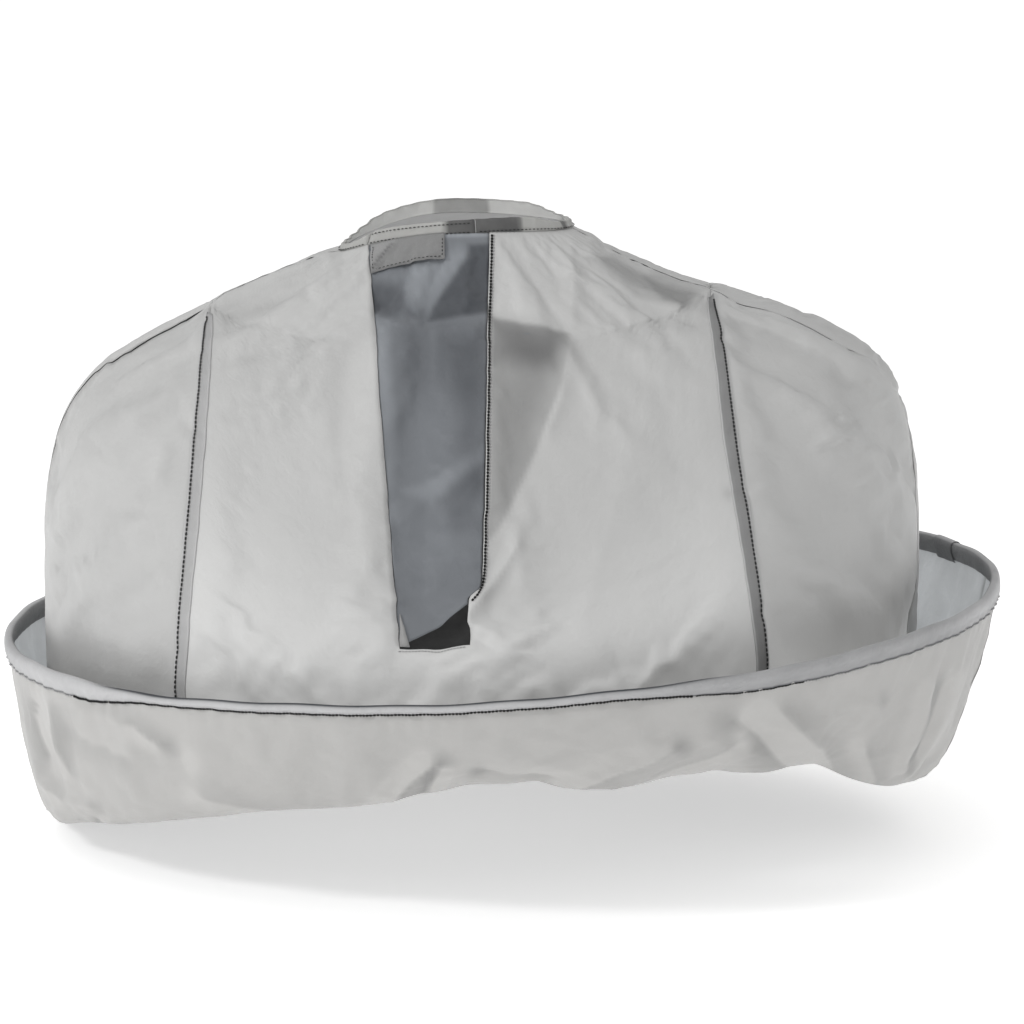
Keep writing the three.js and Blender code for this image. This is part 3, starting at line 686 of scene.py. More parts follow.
# %% Add the wrinkles to the surfaces
NECK_CALM, HEM_STARTS = 0.03, 0.72  # as shares of the way down


def dome(angle, v, lift=0.0, creases=None):
    angle, v = np.broadcast_arrays(np.asarray(angle, float), np.asarray(v, float))
    base, out = smooth_dome(angle, v), normals(smooth_dome, angle, v)
    front = smooth(-base[..., 1] / (30 * MM))
    if creases is None:
        push = front * crease_height(base, FRONT_CREASES) + (1 - front) * crease_height(base, BACK_CREASES)
    else:
        push = crease_height(base, creases)
    push = push * smooth(v / NECK_CALM)
    point = base + out * (push + lift)[..., None] + read_field(dome_waves, angle, v)
    point[..., 2] -= hem_drop(angle) * smooth((v - HEM_STARTS) / (1 - HEM_STARTS))
    return point


WALL_CREASES = [
    ([(460, -400), (452, -430), (436, -470)], -6, 14),
    ([(446, -392), (436, -430), (420, -478)], 4, 12),
    ([(-392, -424), (-396, -440), (-384, -478)], -8, 13),
    ([(-376, -420), (-372, -452), (-360, -480)], 4, 10),
    ([(-380, -412), (-350, -404), (-300, -408), (-270, -424)], 4.4, 14),
    ([(-350, -438), (-300, -446), (-250, -436)], -4, 16),
    ([(-392, -500), (-366, -520), (-340, -512)], 3.4, 11),
    ([(-330, -530), (-318, -548)], -4, 7),
    ([(-60, -470), (-40, -440), (-18, -420)], 5, 16),
    ([(-20, -455), (-12, -430)], -4, 9),
    ([(30, -438), (70, -442), (100, -450)], -4.4, 13),
    ([(110, -455), (150, -430), (200, -410)], 5, 16),
    ([(262, -388), (290, -420), (318, -470)], -6, 22),
    ([(300, -384), (338, -430), (352, -474)], 4.4, 20),
    ([(160, -460), (210, -440), (260, -420)], -4, 14),
    ([(270, -402), (330, -398), (390, -392)], 3.6, 12),
    ([(-230, -470), (-180, -480), (-120, -486)], 3, 16),
    ([(380, -440), (392, -480), (388, -500)], 3, 14),
]
PUCKERS, GATHERS = 157, 23  # waves in one turn of the hoop: small ones under the casing, long ones below
PUCKER_HEIGHT, GATHER_HEIGHT = 0.9 * MM, 2.2 * MM


def wall(angle, v, lift=0.0):
    """The trough wall. lift is outwards, away from the dome."""
    angle, v = np.broadcast_arrays(np.asarray(angle, float), np.asarray(v, float))
    base, out = smooth_wall(angle, v), normals(smooth_wall, angle, v)
    front = np.where(base[..., 1] < 0, 1, 0)
    free = np.sin(math.pi * v) ** 0.5 * smooth((v - 0.05) / 0.2)
    uneven = 0.6 + 0.4 * np.sin(17 * angle)
    pucker = PUCKER_HEIGHT * np.sin(PUCKERS * angle + 3 * np.sin(11 * angle)) * uneven
    gather = GATHER_HEIGHT * np.sin(GATHERS * angle + 2 * np.sin(5 * angle)) * free
    near_casing = np.exp(-(((v - 0.1) / 0.09) ** 2))
    push = front * crease_height(base, WALL_CREASES) * free + gather + pucker * near_casing
    point = base + out * (push + lift)[..., None] + read_field(wall_waves, angle, v) * free[..., None]
    point[..., 2] -= hem_drop(angle) * smooth(v)
    return point


print("hem drops by", (hem_drop(np.linspace(0, TURN, 200)).max() / MM).round(1), "mm at most")

# %% [markdown]
# ## Turning a surface into cloth
# A piece of cloth is a grid of points on a surface, thickened by a Solidify modifier. Its texture coordinates
# are real lengths along and across the cloth, so a weave keeps its size on every piece. Each point also carries
# a shade value, which paints shade into the colour: where another layer lies under the thin nylon, in creases
# and gaps, and wherever else shade falls.

# %% Write the cloth helpers
STEP = 5.5 * MM


def steps(length, step=STEP):
    return max(2, int(round(length / step)) + 1)


def path_length(points):
    return float(np.linalg.norm(np.diff(points, axis=0), axis=1).sum())


class Cloth:
    """Collects grids of points into one mesh object."""

    def __init__(self, name, materials):
        self.name, self.materials = name, materials
        self.points, self.faces, self.lengths, self.shade, self.slots = [], [], [], [], []

    def add(self, grid, shade=0.0, keep=None, slot=0, closed=False):
        rows, columns = grid.shape[:2]
        first = sum(len(p) for p in self.points)
        steps_down, steps_across = (np.linalg.norm(np.diff(grid, axis=axis), axis=2) for axis in (0, 1))
        along = np.vstack([np.zeros((1, columns)), np.cumsum(steps_down, 0)])
        across = np.hstack([np.zeros((rows, 1)), np.cumsum(steps_across, 1)])
        across = across - across[:, columns // 2, None]
        index = first + np.arange(rows * columns).reshape(rows, columns)
        right = np.roll(index, -1, 1) if closed else index[:, 1:]
        left = index if closed else index[:, :-1]
        quads = np.stack([left[:-1], left[1:], right[1:], right[:-1]], -1)
        quads = quads[keep] if keep is not None else quads.reshape(-1, 4)
        self.points.append(grid.reshape(-1, 3))
        self.lengths.append(np.stack([across, along], -1).reshape(-1, 2))
        self.shade.append(np.broadcast_to(shade, (rows, columns)).ravel())
        self.faces.append(quads)
        self.slots.append(np.full(len(quads), slot))
        return self

    def make(self, thickness=CLOTH, offset=-1.0, inside=0):
        """inside is how many materials further on the inner face's material is."""
        points, faces = np.concatenate(self.points), np.concatenate(self.faces)
        used = np.unique(faces)
        number = np.full(len(points), -1)
        number[used] = np.arange(len(used))
        data = bpy.data.meshes.new(self.name)
        data.from_pydata(points[used].tolist(), [], number[faces].tolist())
        shade = data.attributes.new("shade", "FLOAT", "POINT")
        shade.data.foreach_set("value", np.concatenate(self.shade)[used])
        corner = np.zeros(len(data.loops), np.int32)
        data.loops.foreach_get("vertex_index", corner)
        lengths = np.concatenate(self.lengths)[used][corner]
        data.uv_layers.new(name="lengths").data.foreach_set("uv", lengths.ravel())
        for material in self.materials:
            data.materials.append(material)
        data.polygons.foreach_set("material_index", np.concatenate(self.slots).astype(np.int32))
        data.polygons.foreach_set("use_smooth", np.ones(len(faces), bool))
        made = bpy.data.objects.new(self.name, data)
        scene.collection.objects.link(made)
        if thickness:
            solid = made.modifiers.new("thickness", "SOLIDIFY")
            solid.thickness, solid.offset, solid.material_offset = thickness, offset, inside
        return made


def sheet_size(grid):
    """(width, length), area: what the piece would be cut to, with 1% ease."""
    ease = 1.01
    width = ease * max(path_length(row) for row in grid)
    length = ease * max(path_length(column) for column in grid.swapaxes(0, 1))
    a, b = grid[1:, 1:] - grid[:-1, :-1], grid[1:, :-1] - grid[:-1, 1:]
    area = ease * float(np.linalg.norm(np.cross(a, b), axis=2).sum() / 2)
    return (round(width, 3), round(length, 3)), round(min(area, width * length), 4)


def declare(piece, grid, held, rests_on, with_pieces=()):
    flat, area = sheet_size(grid)
    area = min(area, flat[0] * flat[1])
    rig.sheet(piece, flat=flat, held=held, rests_on=rests_on, area=area, with_pieces=with_pieces)
    print(f"{piece.name}: {flat[0]:.3f} by {flat[1]:.3f} m, {area:.3f} square metres")

# %% [markdown]
# ## Shader groups for cloth
# All the finishes here are cloth, and share three effects: the weave, the fine crinkle of handled nylon and
# an uneven tone. Each is a node group with its own inputs, so one edit changes every material.

# %% Build the shader groups
def new_group(name, inputs, outputs):
    group = bpy.data.node_groups.new(name, "ShaderNodeTree")
    for label, kind in inputs:
        group.interface.new_socket(name=label, in_out="INPUT", socket_type=kind)
    for label, kind in outputs:
        group.interface.new_socket(name=label, in_out="OUTPUT", socket_type=kind)
    return group, group.nodes.new("NodeGroupInput").outputs, group.nodes.new("NodeGroupOutput").inputs


def add_node(tree, kind, links=(), **settings):
    """A node with its settings, and links from (socket, input name or number)."""
    node = tree.nodes.new(kind)
    for key, value in settings.items():
        setattr(node, key, value)
    for source, target in links:
        if isinstance(source, (int, float, tuple)):
            node.inputs[target].default_value = source
        else:
            tree.links.new(source, node.inputs[target])
    return node


def maths(tree, operation, *values):
    links = [(value, i) for i, value in enumerate(values)]
    return add_node(tree, "ShaderNodeMath", links, operation=operation).outputs[0]


def noise_in(tree, given, detail):
    """A noise texture that reads the group's own Vector and Scale inputs."""
    links = [(given["Vector"], "Vector"), (given["Scale"], "Scale"), (detail, "Detail")]
    return add_node(tree, "ShaderNodeTexNoise", links).outputs["Fac"]


VECTOR, HEIGHT = ("Vector", "NodeSocketVector"), ("Height", "NodeSocketFloat")


weave_group, given, result = new_group("plain weave", [VECTOR, ("Pitch", "NodeSocketFloat")], [HEIGHT])
split = add_node(weave_group, "ShaderNodeSeparateXYZ", [(given["Vector"], 0)])
waves = []
for axis in ("X", "Y"):
    turns = maths(weave_group, "DIVIDE", split.outputs[axis], given["Pitch"])
    waves.append(maths(weave_group, "SINE", maths(weave_group, "MULTIPLY", turns, TURN)))
weave_group.links.new(maths(weave_group, "MULTIPLY", *waves), result["Height"])

crinkle_group, given, result = new_group("hand crinkle", [VECTOR, ("Scale", "NodeSocketFloat")], [HEIGHT])
off_middle = maths(crinkle_group, "SUBTRACT", noise_in(crinkle_group, given, 3.0), 0.5)
ridge = maths(crinkle_group, "ABSOLUTE", off_middle)
fold = maths(crinkle_group, "SUBTRACT", 1.0, maths(crinkle_group, "MULTIPLY", ridge, 4.0))
crinkle_group.links.new(fold, result["Height"])

tone_group, given, result = new_group(
    "uneven tone",
    [VECTOR, ("Light", "NodeSocketColor"), ("Dark", "NodeSocketColor"),
     ("Shade", "NodeSocketFloat"), ("Variation", "NodeSocketFloat"), ("Scale", "NodeSocketFloat")],
    [("Color", "NodeSocketColor"), ("Mask", "NodeSocketFloat")],
)
off_middle = maths(tone_group, "SUBTRACT", noise_in(tone_group, given, 4.0), 0.5)
mask = maths(tone_group, "MULTIPLY_ADD", off_middle, given["Variation"], given["Shade"])
mask = add_node(tone_group, "ShaderNodeClamp", [(mask, 0)]).outputs[0]
mix = tone_group.nodes.new("ShaderNodeMix")
mix.data_type = "RGBA"
COLOUR_A, COLOUR_B, COLOUR_OUT = 6, 7, 2  # the Mix node's colour sockets, which share their names with others
for source, target in ((mask, 0), (given["Light"], COLOUR_A), (given["Dark"], COLOUR_B)):
    tone_group.links.new(source, mix.inputs[target])
tone_group.links.new(mix.outputs[COLOUR_OUT], result["Color"])
tone_group.links.new(mask, result["Mask"])
print("shader groups:", [g.name for g in bpy.data.node_groups])

# %% [markdown]
# ## The materials
# Every finish is nylon or polyester, so they differ in tone, shine and weave. The tone runs from a light to a
# dark colour by the painted shade value of each point, and some materials glow a little as painted light.
# Uniform numbers are set on the shader's own sockets.

# %% Make the materials
def grey(level, tint=(0, 0, 0)):
    """A colour as it looks on screen, from 0 to 255, turned into linear light."""
    return tuple(((level + t) / 255) ** 2.2 for t in tint) + (1,)


DARK_FROM = (0.01, 0.09)  # metres from the neck over which the inside goes from lit to dark
# LIT_FROM sets where the painted light on the lower dome begins.
LIT_FROM = (0.34, 0.52)  # metres from the neck over which light from the trough sets in


def down_the_cloth(tree, lengths, spread, most=1.0):
    """0 near the neck and most further down. The change lies between the two distances in spread."""
    down = add_node(tree, "ShaderNodeSeparateXYZ", [(lengths, 0)]).outputs["Y"]
    change = add_node(tree, "ShaderNodeMapRange", [(down, "Value")], interpolation_type="SMOOTHSTEP")
    change.inputs["From Min"].default_value, change.inputs["From Max"].default_value = spread
    change.inputs["To Max"].default_value = most
    return change.outputs[0]


def cloth_material(
    name, light, dark, roughness, variation=0.25, scale=9.0, pitch=0.7, weave=0.05, crinkle=0.35,
    crinkle_scale=55.0, sheen=0.0, glow=0.0, deepens=False, low_glow=0.0,
):
    material = bpy.data.materials.new(name)
    material.use_nodes = True
    tree = material.node_tree
    shader = tree.nodes["Principled BSDF"]
    lengths = add_node(tree, "ShaderNodeUVMap", uv_map="lengths").outputs[0]
    shade = add_node(tree, "ShaderNodeAttribute", attribute_name="shade").outputs["Fac"]
    # Painted shade: the inside is painted darker the further it lies from the neck.
    if deepens:  # darker with the distance from the neck
        shade = down_the_cloth(tree, lengths, DARK_FROM)
    tone = add_node(tree, "ShaderNodeGroup", node_tree=tone_group)
    for value, label in ((lengths, "Vector"), (shade, "Shade")):
        tree.links.new(value, tone.inputs[label])
    tone.inputs["Light"].default_value, tone.inputs["Dark"].default_value = light, dark
    tone.inputs["Variation"].default_value, tone.inputs["Scale"].default_value = variation, scale
    tree.links.new(tone.outputs["Color"], shader.inputs["Base Color"])
    spread = add_node(tree, "ShaderNodeMapRange", [(tone.outputs["Mask"], "Value")])
    spread.inputs["To Min"].default_value, spread.inputs["To Max"].default_value = roughness, roughness + 0.12
    tree.links.new(spread.outputs[0], shader.inputs["Roughness"])
    threads = add_node(tree, "ShaderNodeGroup", node_tree=weave_group)
    tree.links.new(lengths, threads.inputs["Vector"])
    threads.inputs["Pitch"].default_value = pitch * MM
    creased = add_node(tree, "ShaderNodeGroup", node_tree=crinkle_group)
    tree.links.new(lengths, creased.inputs["Vector"])
    creased.inputs["Scale"].default_value = crinkle_scale
    thread_height = maths(tree, "MULTIPLY", threads.outputs[0], weave)
    crease_relief = maths(tree, "MULTIPLY", creased.outputs[0], crinkle)
    relief = maths(tree, "ADD", thread_height, crease_relief)
    bump = add_node(tree, "ShaderNodeBump", [(relief, "Height")])
    bump.inputs["Distance"].default_value = 1.2 * MM
    bump.inputs["Strength"].default_value = 0.7
    tree.links.new(bump.outputs[0], shader.inputs["Normal"])
    shader.inputs["Sheen Weight"].default_value = sheen
    # Painted light: the cloth glows in its own colour, though no lamp is there.
    if glow or low_glow:
        tree.links.new(tone.outputs["Color"], shader.inputs["Emission Color"])
        shader.inputs["Emission Strength"].default_value = glow
    # Painted light: the glow grows down the cloth, standing in for light that the thin trough lets onto the hem.
    if low_glow:  # the thin trough lets light onto the hem from all sides
        low = down_the_cloth(tree, lengths, LIT_FROM, low_glow)
        tree.links.new(low, shader.inputs["Emission Strength"])
    shader.inputs["Specular IOR Level"].default_value = 0.35
    return material


def dome_nylon(name, low_glow=0.0):
    return cloth_material(name, grey(194, (0, 0, -1)), grey(112), 0.42, 0.16, low_glow=low_glow)


# The front and right copies of the dome's nylon carry painted light, a glow rising towards the hem, strongest on the
# right.
nylon = dome_nylon("thin_nylon")
front_nylon = dome_nylon("front_nylon", 0.18)
right_nylon = dome_nylon("right_nylon", 0.42)
# The trough wall is the dome's own nylon, painted a little darker as shade.
trough_nylon = cloth_material("trough_nylon", grey(182, (0, -1, -3)), grey(112), 0.42, 0.22, 6.0)
# Painted light: the back wall's inside glows, for light coming through the thin cloth.
lit_nylon = cloth_material(
    "nylon_lit_from_behind", grey(202, (-3, 0, 2)), grey(92), 0.5, 0.7, 14.0, crinkle=0.7, glow=0.34
)
# The back panels' inner face: painted shade, pale by the neck and dark lower down, with a faint painted glow.
painted_dark_inside = cloth_material("unlit_inside", grey(205), grey(52), 0.6, 0.2, glow=0.12, deepens=True)
# The flap and facing take this nylon, painted darker as shade, since nothing light lies behind them.
flap_nylon = cloth_material(
    "flap_nylon", grey(152, (-4, 0, 5)), grey(66, (-3, 0, 5)), 0.3, 0.22, 12.0, sheen=0.1
)
tape_cloth = cloth_material("seam_tape", grey(196), grey(142), 0.5, 0.3, 40, 1.0, 0.2, 0.3)
band_cloth = cloth_material("neckband_cloth", grey(192, (0, 0, -3)), grey(92), 0.5, 0.3, 30, 0.9, 0.2, 0.4)
casing_cloth = cloth_material(
    "casing_cloth", grey(190, (0, 0, 1)), grey(64, (-3, 0, 4)), 0.45, 0.3, 22, 0.8, 0.1, 1.0, 90
)
# Painted light: the neckband's inside glows, for light coming through the thin cloth.
lit_band = cloth_material(
    "neckband_inside", grey(202, (0, 0, -2)), grey(96), 0.5, 0.4, 30, 0.9, 0.2, 0.4, glow=0.3
)
# Painted shade: the inner tapes are dark, so that the gaps at the seams show as lines of shadow.
tape_painted_as_seam_shadow = cloth_material("inner_tape", grey(70), grey(34), 0.6, 0.3, 40, 1.0, 0.2)
fastener = cloth_material("fastener_tape", grey(170), grey(120), 0.8, 0.4, 200, 1.3, 0.8, 0.6, 400, sheen=0.3)
thread = cloth_material("sewing_thread", grey(214), grey(60), 0.5, 0.3, 300, 0.35, 0.6, 0.0)
# Painted shade: the dark thread stands for stitches in shadow, and on the rim's front for the shadow line under the
# casing.
thread_in_painted_shade = cloth_material("shaded_thread", grey(96), grey(26), 0.6, 0.4, 300, 0.35, 0.6, 0.0)


def steel_material():
    material = bpy.data.materials.new("spring_steel")
    material.use_nodes = True
    tree = material.node_tree
    shader = tree.nodes["Principled BSDF"]
    shader.inputs["Metallic"].default_value = 1
    shader.inputs["Base Color"].default_value = grey(196)
    lengths = add_node(tree, "ShaderNodeUVMap", uv_map="lengths").outputs[0]
    drawn = add_node(tree, "ShaderNodeTexNoise", [(lengths, "Vector"), (900.0, "Scale"), (4.0, "Detail")])
    spread = add_node(tree, "ShaderNodeMapRange", [(drawn.outputs["Fac"], "Value")])
    spread.inputs["To Min"].default_value, spread.inputs["To Max"].default_value = 0.22, 0.42
    tree.links.new(spread.outputs[0], shader.inputs["Roughness"])
    return material


steel = steel_material()
floor_material = bpy.data.materials.new("pale_floor")
floor_material.use_nodes = True
floor_shader = floor_material.node_tree.nodes["Principled BSDF"]
floor_shader.inputs["Base Color"].default_value = (0.93, 0.93, 0.93, 1)
floor_shader.inputs["Roughness"].default_value = 0.9
floor_shader.inputs["Emission Color"].default_value = (1, 1, 1, 1)
floor_shader.inputs["Emission Strength"].default_value = FLOOR_GLOW
floor_data.materials.append(floor_material)
print(len(bpy.data.materials), "materials")

# %% [markdown]
# ## How the pieces move
# The dome's cloth crumples as the hoop is pushed up to the neck, and the trough wall turns over when the hoop
# is pushed down. Both are slides, so a point needs only the share of the travel that it follows. For the dome
# that share grows evenly with depth. For the wall it runs from the fold to the casing.

# %% Tie pieces to the joints
CRUMPLE_TOP, CRUMPLE_DEPTH, CRUMPLE_TRAVEL = 12 * MM, 472 * MM, 340 * MM


def stand_in(piece, material_slot, nodes):
    """Says which material the piece is and which CAD nodes it replaces."""
    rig.slot(piece, material_slot)
    if nodes:
        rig.replaces(piece, *nodes)
    return piece


def follow(piece, bodies, shares, material_slot, nodes=()):
    """Blends a piece between two bodies by a share for each point."""
    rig.blend(piece, *bodies, start=(0, 0, CRUMPLE_TOP), end=(0, 0, CRUMPLE_TOP - CRUMPLE_DEPTH))
    piece.data.attributes["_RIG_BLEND"].data.foreach_set("value", np.asarray(shares, np.float32).ravel())
    return stand_in(piece, material_slot, nodes)


def hang(piece, material_slot, *nodes):
    z = np.array([vertex.co.z for vertex in piece.data.vertices])
    shares = np.clip((CRUMPLE_TOP - z) / CRUMPLE_DEPTH, 0, 1)
    return follow(piece, ("cape", "hem"), shares, material_slot, nodes)


def swing(piece, material_slot, *nodes):
    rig.ride(piece, "flap")
    keep = 1 - CRUMPLE_TRAVEL / CRUMPLE_DEPTH
    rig.squash(piece, "cape_collapse", axis=(0, 0, 1), anchor=(0, 0, CRUMPLE_TOP), keep=keep)
    return stand_in(piece, material_slot, nodes)


def ride_rim(piece, material_slot, *nodes):
    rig.ride(piece, "rim")
    return stand_in(piece, material_slot, nodes)


print("joints:", [joint["name"] for joint in frame["joints"]])

# %% [markdown]
# ## Stitches
# A lockstitch is a short loop of thread that sinks into the cloth at both ends. Each one here is a tiny
# spindle laid along the seam. They are pieces of geometry because a printed line of dashes has no shadow.

# %% Sew rows of stitches
STITCH_PITCH, STITCH_LENGTH, STITCH_WIDTH = 4.0 * MM, 2.6 * MM, 0.9 * MM
SPINDLE = [  # share of the length, share of the width, rise
    (-0.5, 0.02, -0.5), (-0.42, 0.6, 0.0), (-0.2, 1.0, 0.5),
    (0.2, 1.0, 0.5), (0.42, 0.6, 0.0), (0.5, 0.02, -0.5),
]
SPINDLE_SIDES = 6


def stitch_row(
    cloth, path, out, slot=0, pitch=STITCH_PITCH, length=STITCH_LENGTH, width=STITCH_WIDTH, shade=0.1,
):
    """Adds a row of stitches along a dense path, with the cloth's outward direction at each point."""
    run = np.concatenate([[0], np.cumsum(np.linalg.norm(np.diff(path, axis=0), axis=1))])

    def at(distance, values):
        return np.array([np.interp(distance, run, values[:, k]) for k in range(3)])

    for middle in np.arange(pitch / 2, run[-1] - pitch / 2, pitch):
        ends = at(middle - length / 2, path), at(middle + length / 2, path)
        up = at(middle, out)
        along = ends[1] - ends[0]
        side = np.cross(up, along)
        side /= max(np.linalg.norm(side), 1e-9)
        centre = (ends[0] + ends[1]) / 2
        turns = np.linspace(0, TURN, SPINDLE_SIDES, endpoint=False)
        grid = np.array([
            centre + along * share + (0.35 * rise * width) * up
            + (width / 2) * size * (np.cos(turns)[:, None] * side + 0.8 * np.sin(turns)[:, None] * up)
            for share, size, rise in SPINDLE
        ])
        cloth.add(grid, shade=shade, slot=slot, closed=True)
    return cloth


def row_on(surface, line, lift, offset=0.0, samples=160, start=0.0, end=1.0):
    """A dense path along a seam line on a surface, offset across it, and its outward directions."""
    v = np.linspace(start, end, samples)
    angle = line(v)
    angle = angle + offset / np.maximum(metres_per_radian(angle, v), 1 * MM)
    return surface(angle, v, lift), normals(smooth_dome, angle, v)


print("stitch:", STITCH_LENGTH / MM, "mm long, every", STITCH_PITCH / MM, "mm")

# %% [markdown]
# ## Side and back panels
# Each panel is cut between two seams. Its rows run round the body and its columns run down, so both edges lie
# exactly on their seams. A narrow gap is left at the side seams, where the inner tape, painted dark as shade,
# shows as a line of shadow.

# %% Cut the plain panels
SEAM_OPEN, PANEL_LIFT = 1.3 * MM, 0.5 * MM
SLANT_SHADE = 0.9
SKIRT = np.linspace(SHOULDER, 1, 82)
YOKE = np.linspace(0, SHOULDER - 1e-6, 33)  # ends just above the skirt's first row
DOWN = np.concatenate([YOKE, SKIRT])


def trim(v):
    return SEAM_OPEN / on_rib(FRONT_RIB, v)[..., 0]


def panel_grid(from_line, to_line, v, columns):
    share = np.linspace(0, 1, columns)
    start, end = from_line(v)[:, None], to_line(v)[:, None]
    angle = lerp(start, end, share)
    return dome(angle, np.broadcast_to(v[:, None], angle.shape), PANEL_LIFT)


def side_line(side, towards):
    return lambda v: side + towards * trim(v)


def seam_line(left, front=True):
    return lambda v: seam_angle(v, left, front)


def make_panel(name, from_line, to_line, v, columns):
    grid = panel_grid(from_line, to_line, v, columns)
    # Painted shade: the front left panel is a little darker than the others.
    shade = 0.12 if name == "front_left_panel" else 0.04
    if name.startswith("front"):
        shade = shade + slant(grid, crease_height(grid, FRONT_CREASES), SLANT_SHADE)
    outside = right_nylon if name == "front_right_panel" else nylon
    cloth = Cloth(name + "_cloth", [outside, painted_dark_inside]).add(grid, shade)
    piece = hang(cloth.make(inside=int(name.startswith("back"))), "light_nylon", name)
    return piece, grid


SIDE_PANELS = (
    ("front_left_panel", side_line(LEFT_SIDE, 1), seam_line(True), 26),
    ("front_right_panel", seam_line(False), side_line(RIGHT_SIDE, -1), 26),
    ("back_left_panel", seam_line(True, False), side_line(LEFT_SIDE, -1), 26),
    ("back_right_panel", side_line(RIGHT_SIDE - TURN, 1), seam_line(False, False), 34),
)
panels = {name: make_panel(name, *lines, SKIRT, columns) for name, *lines, columns in SIDE_PANELS}


def back_edge(left):
    side = LEFT_SIDE if left else RIGHT_SIDE - TURN
    inwards = -1 if left else 1
    return lambda v: np.where(v < SHOULDER, side + inwards * trim(v), seam_angle(v, left, False))


panels["back_centre_panel"] = make_panel("back_centre_panel", back_edge(False), back_edge(True), DOWN, 96)
print("panels:", list(panels))

# %% [markdown]
# ## The front panel and its slit
# The front panel has a long slit from the neck, narrower at its foot, where its right edge steps in round the
# flap's sewn corner. Its grid is split into three parts at the slit's edges, and the middle part is left out
# above the slit's foot. Painted shade darkens the thin cloth in a wedge where the facing lies behind it, and
# in its creases.

# %% Cut the front panel
SLIT_FOOT_Z, FLAP_FOOT_Z, SLIT_JOG = -325, -275, 12.5  # in mm, as are the x of each edge at its top and foot
SLIT_LEFT_TOP, SLIT_LEFT_FOOT = -81, -49
SLIT_RIGHT_TOP, SLIT_RIGHT_FOOT = 33, 27.5


def slit_left(z):
    """x of the slit's left edge at a height, in metres."""
    return np.interp(-z / MM, [0, -SLIT_FOOT_Z], [SLIT_LEFT_TOP, SLIT_LEFT_FOOT]) * MM


def slit_right(z):
    """x of its right edge, which steps in below the flap."""
    edge = np.interp(-z / MM, [0, -FLAP_FOOT_Z], [SLIT_RIGHT_TOP, SLIT_RIGHT_FOOT])
    return (edge - SLIT_JOG * smooth((FLAP_FOOT_Z - z / MM) / SLIT_JOG)) * MM


def polygon_shade(point, polygon, softness):
    """1 well inside the outline and 0 well outside it. The outline is (x, z) in mm."""
    x, z = point[..., 0] / MM, point[..., 2] / MM
    inside = np.zeros(x.shape, bool)
    closed = polygon + polygon[:1]
    for (ax, az), (bx, bz) in zip(closed, closed[1:]):
        crosses = (az > z) != (bz > z)
        inside ^= crosses & (x < ax + (z - az) * (bx - ax) / (bz - az if bz != az else 1e-9))
    gap = line_distance(x, z, closed) * np.where(inside, 1, -1)
    return smooth(0.5 + gap / (2 * softness))


# Painted shade on the front: the facing's wedge, the shade in creases and other soft patches.
FRONT_SHADES = [  # outline (x, z) in mm, softness in mm, shade
    (
        [(36, -57), (70, -64), (109, -72), (101, -112), (76, -168), (46, -226), (31, -243), (35, -140)],
        3, 0.42,
    ),
    ([(36, -57), (70, -63), (104, -71), (94, -100), (40, -92)], 12, 0.4),
    ([(60, -80), (96, -84), (76, -150), (44, -200), (40, -120)], 22, 0.2),
    ([(34, 4), (40, -10), (36, -56), (33, -56)], 4, 0.25),
    ([(122, -14), (150, -16), (196, -40), (228, -52), (214, -62), (170, -46)], 3, 0.36),
    ([(176, -30), (206, -36), (238, -50), (226, -62), (196, -54)], 2, 0.22),
    ([(-330, -126), (-290, -104), (-250, -92), (-286, -116)], 5, 0.2),
    ([(-216, -74), (-176, -54), (-130, -42), (-178, -64)], 5, 0.2),
    ([(20, -250), (40, -255), (62, -300), (30, -300)], 16, 0.14),
]


def shades_of(point, shades):
    total = np.zeros(point.shape[:-1])
    for polygon, softness, amount in shades:
        total += amount * polygon_shade(point, polygon, softness)
    return total


def front_share(z):
    """How far down the front rib a height in mm lies."""
    return float(np.interp(-z * MM, -on_rib(FRONT_RIB, DOWN)[:, 1], DOWN))


foot_share = front_share(SLIT_FOOT_Z)
front_down = np.concatenate([np.linspace(0, foot_share, 104), np.linspace(foot_share, 1, 30)[1:]])
edges = [
    np.where(front_down < SHOULDER, LEFT_SIDE + trim(front_down), seam_angle(front_down, True)),
    slit_angle(slit_left, front_down),
    slit_angle(slit_right, front_down),
    np.where(front_down < SHOULDER, RIGHT_SIDE - trim(front_down), seam_angle(front_down, False)),
]
COLUMNS = (36, 12, 78)  # left of the slit, across it and right of it
front_angle = np.hstack([
    lerp(edges[i][:, None], edges[i + 1][:, None], np.arange(count + (i == 2)) / count)
    for i, count in enumerate(COLUMNS)
])
front_v = np.broadcast_to(front_down[:, None], front_angle.shape)
front_grid = dome(front_angle, front_v, PANEL_LIFT)
keep = np.ones((front_angle.shape[0] - 1, front_angle.shape[1] - 1), bool)
keep[front_down[1:] <= foot_share + 1e-9, COLUMNS[0]:COLUMNS[0] + COLUMNS[1]] = False
front_base = smooth_dome(front_angle, front_v)
front_shade = shades_of(front_base, FRONT_SHADES) + 0.04
front_shade += slant(front_base, crease_height(front_base, FRONT_CREASES), SLANT_SHADE)
front_panel = Cloth("front_centre_panel_cloth", [front_nylon]).add(front_grid, front_shade, keep).make()
hang(front_panel, "light_nylon", "front_centre_panel")
panels["front_centre_panel"] = (front_panel, front_grid)
print(f"slit foot at {foot_share:.2f} of the way down, {keep.sum()} cells of cloth")

# %% [markdown]
# ## The flap
# The flap fills the slit. It is sewn along its right edge and free along its left, so it hangs a little
# behind the panel and folds across. Its colour is painted darker as shade, because nothing light lies behind it,
# and where the neck facing doubles it, painted shade and light change the tone in soft patches.

# %% Cut the flap
FLAP_FOOT_LEFT, FLAP_FOOT_RIGHT = -322, -291  # z of its lower corners in mm
